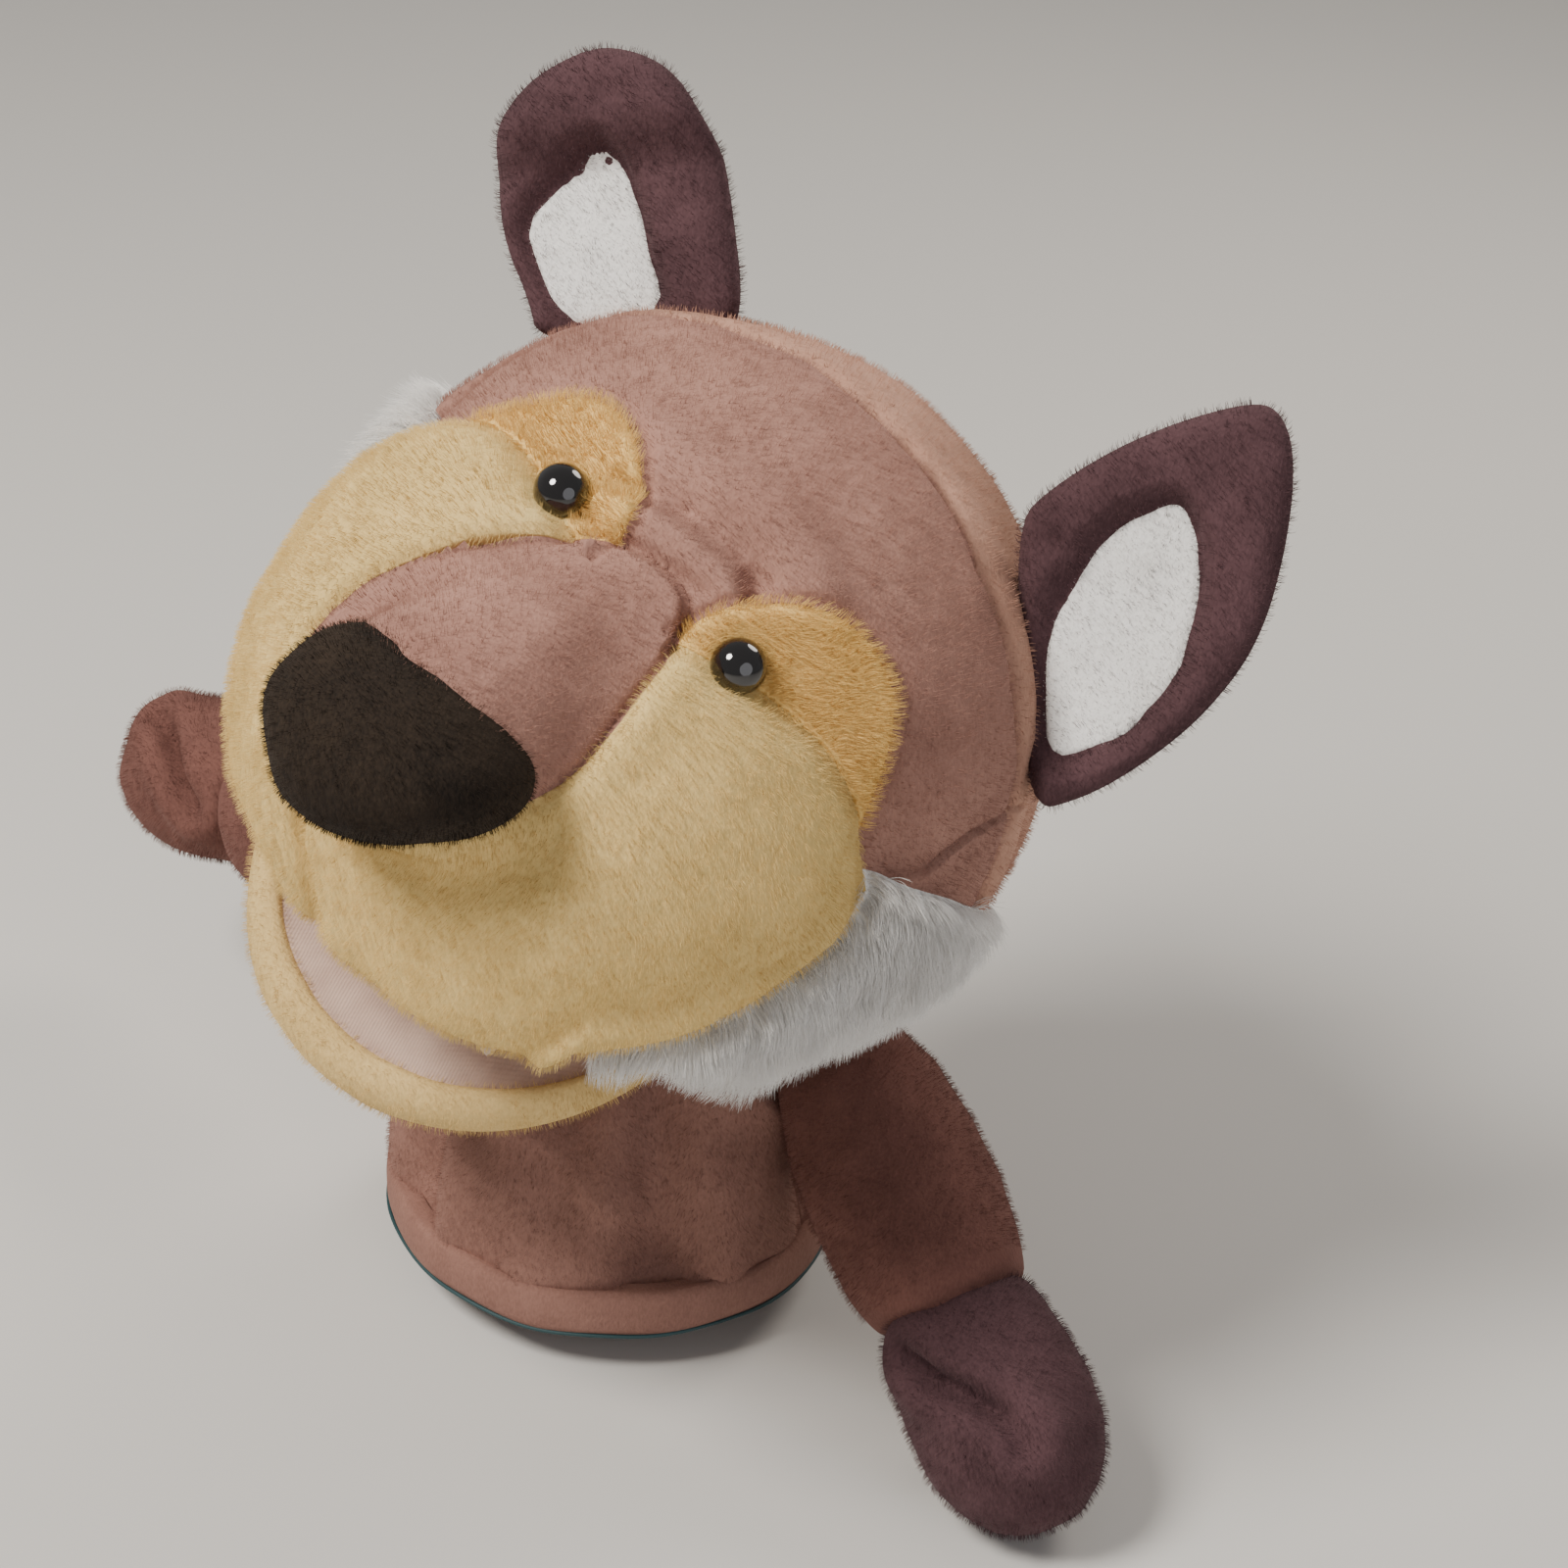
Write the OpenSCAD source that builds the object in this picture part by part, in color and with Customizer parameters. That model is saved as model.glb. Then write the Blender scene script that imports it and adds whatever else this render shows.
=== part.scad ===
// Plush wolf hand puppet with an opening mouth.
// Sleeve on +Z, opening at the origin, face towards -Y, the puppet's left is +X.
// The head is cocked towards the puppet's left and a little back, as it sits on a hand.

/* [Sleeve] */
// Inner radius of the cuff opening
cuff_r = 55; // [52:0.5:58]
// Height of the neck pivot above the cuff
neck_z = 126; // [124:1:130]
// Height of the rolled hem
hem_h = 16; // [12:1:20]
// Thickness of the plush with its pile
plush_t = 2.5; // [2:0.25:3]

/* [Head] */
// Outer radius of the cranium
skull_r = 90; // [88:0.5:91]
// Head roll towards the puppet's left, degrees
head_roll = 27.6; // [22:0.2:29]
// Head pitch, degrees, negative looks up
head_pitch = -20; // [-22:1:-14]
// Radius of the muzzle barrel at its middle
muzzle_r = 75; // [73:0.5:76]
// Half length of the muzzle barrel, side to side
muzzle_x = 82; // [80:0.5:83]
// Diameter of the eye domes
eye_d = 12.4; // [10:0.2:14]

/* [Mouth] */
// Angle of the palate below the head's level
palate_a = 19; // [18:0.2:20]
// Angle of the lower jaw below the head's level
jaw_a = 56; // [52:1:58]
// Half width of the lower jaw
jaw_x = 60; // [56:1:62]
// Length of the lower jaw from its hinge
jaw_y = 66; // [64:1:68]

/* [Arms] */
// Shoulder to wrist
arm_l = 84; // [82:1:86]
// Wrist to paw tip
paw_l = 60; // [58:1:62]
// Thickness of an ear
ear_t = 13; // [10:1:14]

/* [Hidden] */
$fn = 48;
g = 0.35;
head_at = [24, -3, neck_z + 50.2];
skull_c = [0, -16, -5];
muz_c = [0, -46, -25];
hinge_c = [0, -36, -62];
neck_h = [0, 20, -52];
shoulder = [56, 4, 82];
ear_b = [63, -16, 59];
eye_c = [28, -91.6, 35];

mauve = [0.62, 0.46, 0.41];
cream = [0.88, 0.76, 0.52];
plum = [0.34, 0.25, 0.26];
white = [0.93, 0.92, 0.90];
brown = [0.45, 0.29, 0.25];
pink = [0.75, 0.65, 0.59];

module in_head() translate(head_at) rotate([head_pitch, 0, 0]) rotate([0, head_roll, 0]) children();
module at_palate() translate(hinge_c) rotate([palate_a, 0, 0]) children();
module at_jaw() translate(hinge_c) rotate([jaw_a, 0, 0]) children();

// ---- sleeve -------------------------------------------------------------
// outer radius of the sleeve against height
function sleeve_r(z) = z < 44 ? 61 - 3 * z / 44 : z < 84 ? 58 - 12 * (z - 44) / 40 : 46 - 8.5 * (z - 84) / 24;
module tube(z0, z1, o, t) rotate_extrude() polygon(concat(
  [for (z = [z0 : (z1 - z0) / 8 : z1 + 0.01]) [sleeve_r(z) - o, z]],
  [for (z = [z1 : -(z1 - z0) / 8 : z0 - 0.01]) [sleeve_r(z) - o - t, z]]));
module cuff_hem() color(mauve) rotate_extrude() polygon([[cuff_r, 0], [cuff_r + 4.5, 0], [cuff_r + 6, 2], [cuff_r + 6, hem_h - 2], [cuff_r + 4.5, hem_h], [cuff_r, hem_h]]);
module half(s) translate([-100, s > 0 ? 0 : -100, -10]) cube([200, 100, 300]);
module sleeve_front() color(mauve) intersection() { tube(hem_h, neck_z - 27, 0, plush_t); half(-1); }
module sleeve_back() color(mauve) intersection() { tube(hem_h, neck_z - 27, 0, plush_t); half(1); }
module sleeve_lining() color(pink) tube(hem_h, neck_z - 27, plush_t + 0.02, 1.2);

// ---- neck: nested zones of spheres about the neck pivot ------------------
module zone(ri, ro, z0, z1) intersection() {
  difference() { sphere(ro); sphere(ri); }
  translate([0, 0, z0]) cylinder(r = 80, h = z1 - z0);
}
module neck_ring_lower() color(mauve) translate([0, 0, neck_z]) zone(34, 36.5, -18, 3);
module neck_ring_upper() color(mauve) translate([0, 0, neck_z]) zone(37.3, 39.8, -9, 8);
module neck_collar() color(mauve) in_head() translate(neck_h) zone(40.6, 43, 3, 14);

// ---- head -----------------------------------------------------------------
module skull(o) translate(skull_c) sphere(skull_r - o);
function muz_r(x, o) = (muzzle_r - o) * pow(max(0, 1 - pow(abs(x) / (muzzle_x - o), 3)), 0.5);
module barrel(o) translate(muz_c) rotate([0, 90, 0]) rotate_extrude() polygon(concat(
  [[0, -(muzzle_x - o)]],
  [for (i = [1 : 23]) let (a = -90 + 180 * i / 24, x = (muzzle_x - o) * sin(a)) [muz_r(x, o), x]],
  [[0, muzzle_x - o]]));
// everything under the mouth line and under the base of the head
module below_mouth(up) at_palate() translate([-150, -200, -200 + up]) cube([300, 400, 200]);
module below_base(up) translate([-150, -150, -62 - 200 + up]) cube([300, 300, 200]);
module behind_seam() rotate([14, 0, 0]) translate([-150, -14, -150]) cube([300, 300, 400]);
module patch_prism(s, o) mirror([s > 0 ? 0 : 1, 0, 0]) translate([0, -30, 0]) rotate([90, 0, 0]) linear_extrude(100)
  offset(delta = o) polygon([[13, 22], [17, 39], [23, 48], [33, 53], [42, 52], [50, 49], [58, 41], [64, 31], [68, 22], [73, 12], [62, 0]]);
module tuft_prism(s, o) translate([s > 0 ? 55 : -155, 0, 0]) rotate([90, 0, 90]) linear_extrude(100)
  offset(delta = o) polygon([[-68, 12], [-52, 13], [-31, 11], [0, 4], [22, -2], [28, -12], [14, -36], [0, -48], [-20, -55], [-36, -57], [-52, -42], [-64, -16]]);
// the snout ridge that carries the nose, leaning a little to the puppet's right
module ridge_form(o) hull() {
  translate([0, -86, 20]) sphere(13 - o, $fn = 28);
  translate([-2, -106, 0]) sphere(24 - o, $fn = 28);
  translate([-5, -120, -13]) sphere(26 - o, $fn = 28);
}
module front_of(y) translate([-150, y - 200, -150]) cube([300, 200, 300]);
module nose_form(o) hull() {
  for (s = [-1, 1]) translate([17 * s - 5, -140, -4]) sphere(16 - o, $fn = 28);
  translate([-5, -135, -26]) sphere(14 - o, $fn = 28);
}
module neck_hole() translate(neck_h) sphere(43 + g);
module skull_shell() difference() {
  skull(0);
  skull(plush_t);
  barrel(0);
  below_base(16);
  neck_hole();
  for (s = [-1, 1]) tuft_prism(s, 0);
}
module forehead_panel() color(mauve) in_head() difference() {
  skull_shell();
  behind_seam();
  for (s = [-1, 1]) patch_prism(s, 0);
  translate([-150, -150, -196]) cube([300, 300, 200]);
}
module head_back_panel() color(mauve) in_head() intersection() {
  skull_shell();
  behind_seam();
}
module eye_patch(s) color(cream) in_head() difference() {
  intersection() { difference() { skull(0); skull(plush_t); } patch_prism(s, -0.2); }
  barrel(0);
  tuft_prism(s, 0.1);
  eye_axis(s) cylinder(r = 2.1, h = 20, center = true);
}
module eye_patch_left() eye_patch(1);
module eye_patch_right() eye_patch(-1);
module cheek_tuft(s) color(white) in_head() difference() {
  intersection() { difference() { skull(-1.5); skull(6); } tuft_prism(s, 0); }
  barrel(0);
}
module cheek_tuft_left() cheek_tuft(1);
module cheek_tuft_right() cheek_tuft(-1);
// cavity for the hand: neck sphere, then a flat pocket over the palate for the fingers
module hand_form(o) {
  translate(neck_h) intersection() { sphere(41.3 - o); translate([-60, -60, -2]) cube([120, 120, 60]); }
  at_palate() translate([-40 + o, -54 + o, 5 + o]) cube([80 - 2 * o, 52 - 2 * o, 32 - 2 * o]);
  at_palate() translate([-24 + o, -8 + o, 19 + o]) cube([48 - 2 * o, 42 - o, 18 - 2 * o]);
}
module hand_pocket() color(pink) in_head() difference() {
  hand_form(0);
  hand_form(1.2);
  translate(neck_h) sphere(40.1);
  translate(neck_h) intersection() { sphere(43.35); translate([-60, -60, -60]) cube([120, 120, 74.1]); }
}
module stuffing_cut() {
  hand_form(-0.1);
  translate(neck_h) sphere(43 + g);
  for (s = [-1, 1]) eye_axis(s) translate([0, 0, -14]) cylinder(r = 10, h = 14);
}
// the plane where the cranium and the muzzle barrel meet
module in_front(gap) translate([0, -59.6, -34.1]) rotate([-56.3, 0, 0]) translate([-150, -150, -300 - gap]) cube([300, 300, 300]);
module head_stuffing() color(white) in_head() difference() {
  translate(skull_c) rotate([-56.3, 0, 0]) rotate_extrude()
    polygon(concat([[0, -52.4]], [for (i = [0 : 16]) let (a = -38.7 + 128.7 * i / 16) [83.8 * cos(a), 83.8 * sin(a)]]));
  translate([-150, -150, -210]) cube([300, 300, 200]);
}
module muzzle_stuffing() color(white) in_head() difference() {
  union() {
    intersection() { barrel(plush_t + 0.1); in_front(0.2); }
    intersection() { ridge_form(plush_t + 0.1); translate([-60, -131.9, -60]) cube([120, 29, 120]); }
  }
  below_mouth(5.2);
  stuffing_cut();
}
module muzzle_shell() difference() {
  barrel(0);
  barrel(plush_t);
  skull(plush_t - 0.2);
  below_mouth(0.6);
  ridge_form(0);
  for (s = [-1, 1]) eye_axis(s) sphere(eye_d / 2 + 0.3);
}
module muzzle_left() color(cream) in_head() intersection() { muzzle_shell(); translate([0, -200, -150]) cube([200, 300, 300]); }
module muzzle_right() color(cream) in_head() intersection() { muzzle_shell(); translate([-200, -200, -150]) cube([200, 300, 300]); }
module nose_bridge() color(mauve) in_head() difference() {
  ridge_form(0);
  ridge_form(plush_t);
  barrel(0);
  front_of(-131.9);
}
module nose_cover() color(plum) in_head() difference() { intersection() { nose_form(0); front_of(-132); } nose_form(2); }
module nose_stuffing() color(white) in_head() intersection() { nose_form(2.05); front_of(-132); }

// ---- eyes -------------------------------------------------------------------
module eye_axis(s) mirror([s > 0 ? 0 : 1, 0, 0]) translate(eye_c) rotate([0, 63.62, -69.68]) children();
module eye(s) color([0.03, 0.03, 0.03]) in_head() eye_axis(s) {
  intersection() { sphere(eye_d / 2, $fn = 96); translate([0, 0, 0.3]) cylinder(r = 12, h = 20); }
  translate([0, 0, -5.8]) cylinder(r = 2, h = 6.4, $fn = 96);
}
module eye_left() eye(1);
module eye_right() eye(-1);
module eye_washer(s) color("white") in_head() eye_axis(s) translate([0, 0, -5.4]) difference() {
  cylinder(r = 9, h = 1.4, $fn = 96);
  translate([0, 0, -1]) cylinder(r = 2.05, h = 4, $fn = 96);
}
module eye_washer_left() eye_washer(1);
module eye_washer_right() eye_washer(-1);

// ---- mouth --------------------------------------------------------------------
module palate_plate(z, t, o) in_head() intersection() {
  barrel(plush_t + o);
  at_palate() translate([-100, -120, z]) cube([200, 117, t]);
}
module palate_lining() color(pink) palate_plate(0.6, 2, 0.05);
module palate_board() color("ivory") palate_plate(2.7, 1.8, 1.5);
module jaw_plan(o) intersection() {
  scale([(jaw_x - o) / 50, (jaw_y - o) / 50]) circle(50);
  translate([-100, -100 - 4]) square([200, 100]);
}
module jaw_lining() color(pink) in_head() at_jaw() translate([0, 0, -2.6]) linear_extrude(2) jaw_plan(2.6);
module jaw_board() color("ivory") in_head() at_jaw() translate([0, 0, -4.5]) linear_extrude(1.8) jaw_plan(5);
module jaw_cover() color(cream) in_head() at_jaw() difference() {
  union() {
    translate([0, 0, -9]) linear_extrude(8.4) jaw_plan(0);
    translate([-24, -60, -19.5]) cube([48, 44, 12]);
  }
  translate([0, 0, -2.7]) linear_extrude(10) jaw_plan(2.5);
  translate([0, 0, -4.6]) linear_extrude(3) jaw_plan(4.9);
  translate([-21.8, -58, -17.9]) cube([43.6, 60, 14]);
}
module thumb_pocket() color(pink) in_head() at_jaw() difference() {
  translate([-21.7, -57.9, -17.8]) cube([43.4, 41.9, 13]);
  translate([-20.5, -56.7, -16.6]) cube([41, 60, 10.6]);
}

// ---- ears -----------------------------------------------------------------------
function ear_plan_l() = [[-26, 24], [20, -28], [28, -12], [33, 6], [36, 23], [34, 42], [24, 62], [12, 77], [4, 84], [-4, 80], [-16, 60], [-23, 38]];
function ear_plan_r() = [[-16, 8], [20, -28], [27, -20], [44, -13], [58, 0], [63, 18], [55, 37], [45, 44], [33, 47], [19, 43], [2, 30], [-14, 14]];
module ear_body(pts, inset) difference() {
  translate(ear_b) rotate([90, 0, 0]) translate([0, 0, -ear_t / 2]) linear_extrude(ear_t) polygon(pts);
  skull(-4);
  translate([0, -inset, 0]) ear_panel(pts, 0.1);
}
module ear_panel(pts, o) translate(ear_b) rotate([90, 0, 0]) translate([0, 0, ear_t / 2 - 2.6]) linear_extrude(2.7)
  offset(delta = -9 + o) polygon([for (p = pts) if (p[1] < 66) p]);
module ear_shell(pts) color(plum) ear_body(pts, 0);
module ear_lining(pts) color(white) difference() { ear_panel(pts, 0); skull(-4); }
module ear_shell_left() in_head() ear_shell(ear_plan_l());
module ear_lining_left() in_head() ear_lining(ear_plan_l());
module ear_shell_right() in_head() mirror([1, 0, 0]) ear_shell(ear_plan_r());
module ear_lining_right() in_head() mirror([1, 0, 0]) ear_lining(ear_plan_r());

// ---- arms ------------------------------------------------------------------------
// local +X runs down the arm from the shoulder
module arm_at(s) {
  if (s > 0) translate(shoulder) rotate([0, 34.4, -31.4]) children();
  else mirror([1, 0, 0]) translate(shoulder) rotate([0, 8.4, 19]) children();
}
module turned(pts) rotate([0, 90, 0]) rotate_extrude() polygon([for (p = pts) [p[1], p[0]]]);
function arm_pts(o) = concat([[4 + o, 0], [4 + o, 8 - o], [12, 14 - o], [25, 20 - o], [42, 23 - o], [60, 24 - o], [72, 23.2 - o], [arm_l - 2, 22.2 - o]],
  [for (a = [80 : -10 : 0]) [arm_l + (22.2 - o) * cos(a), (22.2 - o) * sin(a)]]);
function paw_pts(o) = concat([[arm_l, 0], [arm_l + 8, 0], [arm_l + 8, 25 - o], [arm_l + 22, 26 - o]],
  [for (a = [80 : -10 : 0]) [arm_l + 26 + (paw_l - 26 - o) * cos(a), (26 - o) * sin(a)]]);
module arm_root(s) color(brown) if (s > 0) translate(shoulder) sphere(8); else mirror([1, 0, 0]) translate(shoulder) sphere(8);
module arm_cover(s) color(brown) arm_at(s) difference() { turned(arm_pts(0)); turned(arm_pts(plush_t)); sphere(8.4); }
function arm_fill_pts(o) = concat([for (a = [0 : 10 : 40]) [8.4 * cos(a), 8.4 * sin(a)]], [for (p = arm_pts(o)) if (p[0] > 9) p]);
module arm_stuffing(s) color(white) arm_at(s) turned(arm_fill_pts(plush_t + 0.05));
module paw_cover(s) color(plum) arm_at(s) difference() {
  turned(paw_pts(0));
  turned(paw_pts(plush_t));
  translate([arm_l, 0, 0]) sphere(22.6);
}
module paw_stuffing(s) color(white) arm_at(s) difference() {
  turned(paw_pts(plush_t + 0.05));
  translate([arm_l, 0, 0]) sphere(22.6);
}
module arm_root_left() arm_root(1);
module arm_root_right() arm_root(-1);
module arm_cover_left() arm_cover(1);
module arm_cover_right() arm_cover(-1);
module arm_stuffing_left() arm_stuffing(1);
module arm_stuffing_right() arm_stuffing(-1);
module paw_cover_left() paw_cover(1);
module paw_cover_right() paw_cover(-1);
module paw_stuffing_left() paw_stuffing(1);
module paw_stuffing_right() paw_stuffing(-1);

cuff_hem();
sleeve_front();
sleeve_back();
sleeve_lining();
neck_ring_lower();
neck_ring_upper();
neck_collar();
forehead_panel();
head_back_panel();
head_stuffing();
muzzle_stuffing();
muzzle_left();
muzzle_right();
nose_bridge();
nose_cover();
nose_stuffing();
eye_patch_left();
eye_patch_right();
eye_left();
eye_right();
eye_washer_left();
eye_washer_right();
cheek_tuft_left();
cheek_tuft_right();
palate_lining();
palate_board();
hand_pocket();
jaw_lining();
jaw_board();
jaw_cover();
thumb_pocket();
ear_shell_left();
ear_lining_left();
ear_shell_right();
ear_lining_right();
arm_root_left();
arm_root_right();
arm_cover_left();
arm_cover_right();
arm_stuffing_left();
arm_stuffing_right();
paw_cover_left();
paw_cover_right();
paw_stuffing_left();
paw_stuffing_right();
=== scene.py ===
import math
import bpy, bmesh
import numpy as np
from mathutils import Vector, Matrix


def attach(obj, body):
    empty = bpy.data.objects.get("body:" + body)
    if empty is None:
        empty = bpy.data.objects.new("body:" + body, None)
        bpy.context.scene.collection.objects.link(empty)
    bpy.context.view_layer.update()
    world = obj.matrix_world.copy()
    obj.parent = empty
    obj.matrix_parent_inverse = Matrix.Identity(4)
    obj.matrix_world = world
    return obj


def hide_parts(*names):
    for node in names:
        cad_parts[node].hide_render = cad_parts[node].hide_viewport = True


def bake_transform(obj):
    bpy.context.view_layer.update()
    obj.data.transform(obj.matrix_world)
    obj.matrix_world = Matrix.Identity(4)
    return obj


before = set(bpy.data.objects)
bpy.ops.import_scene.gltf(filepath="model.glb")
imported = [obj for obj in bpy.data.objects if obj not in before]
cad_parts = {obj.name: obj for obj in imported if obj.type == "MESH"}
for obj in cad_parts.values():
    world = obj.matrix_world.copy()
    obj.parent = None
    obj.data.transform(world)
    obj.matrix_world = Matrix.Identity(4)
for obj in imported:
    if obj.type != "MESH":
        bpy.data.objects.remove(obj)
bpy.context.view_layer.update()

rng = np.random.default_rng(7)

# ---------------------------------------------------------------- frames (mm)
PITCH, ROLL = math.radians(-20), math.radians(27.6)
RX = np.array([[1, 0, 0], [0, math.cos(PITCH), -math.sin(PITCH)], [0, math.sin(PITCH), math.cos(PITCH)]])
RY = np.array([[math.cos(ROLL), 0, math.sin(ROLL)], [0, 1, 0], [-math.sin(ROLL), 0, math.cos(ROLL)]])
RH = RX @ RY
T = np.array([24, -3, 176.2])
NECK = np.array([0, 0, 126.0])


def h2b(p):
    return np.asarray(p, float) @ RH.T + T


def rotx(a):
    a = math.radians(a)
    return np.array([[1, 0, 0], [0, math.cos(a), -math.sin(a)], [0, math.sin(a), math.cos(a)]])


def roty(a):
    a = math.radians(a)
    return np.array([[math.cos(a), 0, math.sin(a)], [0, 1, 0], [-math.sin(a), 0, math.cos(a)]])


def rotz(a):
    a = math.radians(a)
    return np.array([[math.cos(a), -math.sin(a), 0], [math.sin(a), math.cos(a), 0], [0, 0, 1]])


# ---------------------------------------------------------------- noise in numpy
_perm = rng.random((64, 64, 64)).astype(np.float32) * 2 - 1


def vnoise(p, scale, seed=0):
    q = np.asarray(p, float) / scale + 31.7 * (seed + 1)
    i = np.floor(q).astype(int)
    f = q - i
    f = f * f * (3 - 2 * f)
    r = 0
    for dx in (0, 1):
        for dy in (0, 1):
            for dz in (0, 1):
                w = (f[..., 0] if dx else 1 - f[..., 0]) * (f[..., 1] if dy else 1 - f[..., 1]) * (f[..., 2] if dz else 1 - f[..., 2])
                r = r + w * _perm[(i[..., 0] + dx) % 64, (i[..., 1] + dy) % 64, (i[..., 2] + dz) % 64]
    return r


# ---------------------------------------------------------------- materials
def plush(name, lit, dark, fine=1500.0, bump=0.35, sheen=0.35, rough=0.92, broad=45.0, warm=None):
    m = bpy.data.materials.new(name)
    m.use_nodes = True
    nt = m.node_tree
    nt.nodes.clear()
    N, L = nt.nodes.new, nt.links.new
    out = N("ShaderNodeOutputMaterial")
    b = N("ShaderNodeBsdfPrincipled")
    tc = N("ShaderNodeTexCoord")
    mp = N("ShaderNodeMapping")
    mp.inputs["Scale"].default_value = (1.0, 1.0, 0.45)
    n1 = N("ShaderNodeTexNoise")
    n1.inputs["Scale"].default_value = fine
    n1.inputs["Detail"].default_value = 4
    n2 = N("ShaderNodeTexNoise")
    n2.inputs["Scale"].default_value = broad
    n2.inputs["Detail"].default_value = 5
    n2.inputs["Roughness"].default_value = 0.6
    n3 = N("ShaderNodeTexNoise")
    n3.inputs["Scale"].default_value = fine * 0.28
    n3.inputs["Detail"].default_value = 3
    cr = N("ShaderNodeValToRGB")
    cr.color_ramp.elements[0].position = 0.3
    cr.color_ramp.elements[0].color = (*dark, 1)
    cr.color_ramp.elements[1].position = 0.7
    cr.color_ramp.elements[1].color = (*lit, 1)
    a1 = N("ShaderNodeMath")
    a1.operation = "MULTIPLY_ADD"
    a1.inputs[1].default_value = 0.45
    a2 = N("ShaderNodeMath")
    a2.operation = "MULTIPLY_ADD"
    a2.inputs[1].default_value = 0.55
    L(tc.outputs["Object"], mp.inputs["Vector"])
    L(mp.outputs["Vector"], n1.inputs["Vector"])
    L(tc.outputs["Object"], n2.inputs["Vector"])
    L(tc.outputs["Object"], n3.inputs["Vector"])
    L(n1.outputs["Fac"], a1.inputs[0])
    L(n2.outputs["Fac"], a2.inputs[0])
    a1.inputs[2].default_value = 0.0
    L(a1.outputs[0], a2.inputs[2])
    L(a2.outputs[0], cr.inputs["Fac"])
    L(cr.outputs["Color"], b.inputs["Base Color"])
    b.inputs["Roughness"].default_value = rough
    b.inputs["Sheen Weight"].default_value = sheen
    b.inputs["Sheen Roughness"].default_value = 0.45
    b.inputs["Sheen Tint"].default_value = (*[min(1, v * 1.25 + 0.08) for v in lit], 1)
    b.inputs["Specular IOR Level"].default_value = 0.15
    bp = N("ShaderNodeBump")
    bp.inputs["Strength"].default_value = bump
    bp.inputs["Distance"].default_value = 0.0009
    ad = N("ShaderNodeMath")
    ad.operation = "MULTIPLY_ADD"
    ad.inputs[1].default_value = 0.9
    L(n3.outputs["Fac"], ad.inputs[0])
    L(n1.outputs["Fac"], ad.inputs[2])
    L(ad.outputs[0], bp.inputs["Height"])
    L(bp.outputs["Normal"], b.inputs["Normal"])
    L(b.outputs["BSDF"], out.inputs["Surface"])
    return m


def weave(name, lit, dark):
    m = bpy.data.materials.new(name)
    m.use_nodes = True
    nt = m.node_tree
    nt.nodes.clear()
    N, L = nt.nodes.new, nt.links.new
    out = N("ShaderNodeOutputMaterial")
    b = N("ShaderNodeBsdfPrincipled")
    tc = N("ShaderNodeTexCoord")
    w1 = N("ShaderNodeTexWave")
    w1.inputs["Scale"].default_value = 420
    w1.inputs["Distortion"].default_value = 1.5
    w2 = N("ShaderNodeTexWave")
    w2.bands_direction = "Z"
    w2.inputs["Scale"].default_value = 420
    w2.inputs["Distortion"].default_value = 1.5
    n2 = N("ShaderNodeTexNoise")
    n2.inputs["Scale"].default_value = 70
    n2.inputs["Detail"].default_value = 5
    mx = N("ShaderNodeMath")
    mx.operation = "ADD"
    cr = N("ShaderNodeValToRGB")
    cr.color_ramp.elements[0].position = 0.3
    cr.color_ramp.elements[0].color = (*dark, 1)
    cr.color_ramp.elements[1].position = 0.72
    cr.color_ramp.elements[1].color = (*lit, 1)
    for w in (w1, w2, n2):
        L(tc.outputs["Object"], w.inputs["Vector"])
    L(w1.outputs["Fac"], mx.inputs[0])
    L(w2.outputs["Fac"], mx.inputs[1])
    L(n2.outputs["Fac"], cr.inputs["Fac"])
    L(cr.outputs["Color"], b.inputs["Base Color"])
    b.inputs["Roughness"].default_value = 0.8
    b.inputs["Sheen Weight"].default_value = 0.15
    bp = N("ShaderNodeBump")
    bp.inputs["Strength"].default_value = 0.3
    bp.inputs["Distance"].default_value = 0.0003
    L(mx.outputs[0], bp.inputs["Height"])
    L(bp.outputs["Normal"], b.inputs["Normal"])
    L(b.outputs["BSDF"], out.inputs["Surface"])
    return m


def simple(name, col, rough, coat=0.0, noisy=0.0):
    m = bpy.data.materials.new(name)
    m.use_nodes = True
    nt = m.node_tree
    b = nt.nodes["Principled BSDF"]
    b.inputs["Base Color"].default_value = (*col, 1)
    b.inputs["Roughness"].default_value = rough
    b.inputs["Coat Weight"].default_value = coat
    b.inputs["Coat Roughness"].default_value = 0.04
    n = nt.nodes.new("ShaderNodeTexNoise")
    n.inputs["Scale"].default_value = 300
    mr = nt.nodes.new("ShaderNodeMapRange")
    mr.inputs["To Min"].default_value = max(0.0, rough - noisy)
    mr.inputs["To Max"].default_value = rough + noisy
    nt.links.new(n.outputs["Fac"], mr.inputs["Value"])
    nt.links.new(mr.outputs["Result"], b.inputs["Roughness"])
    return m


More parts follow.
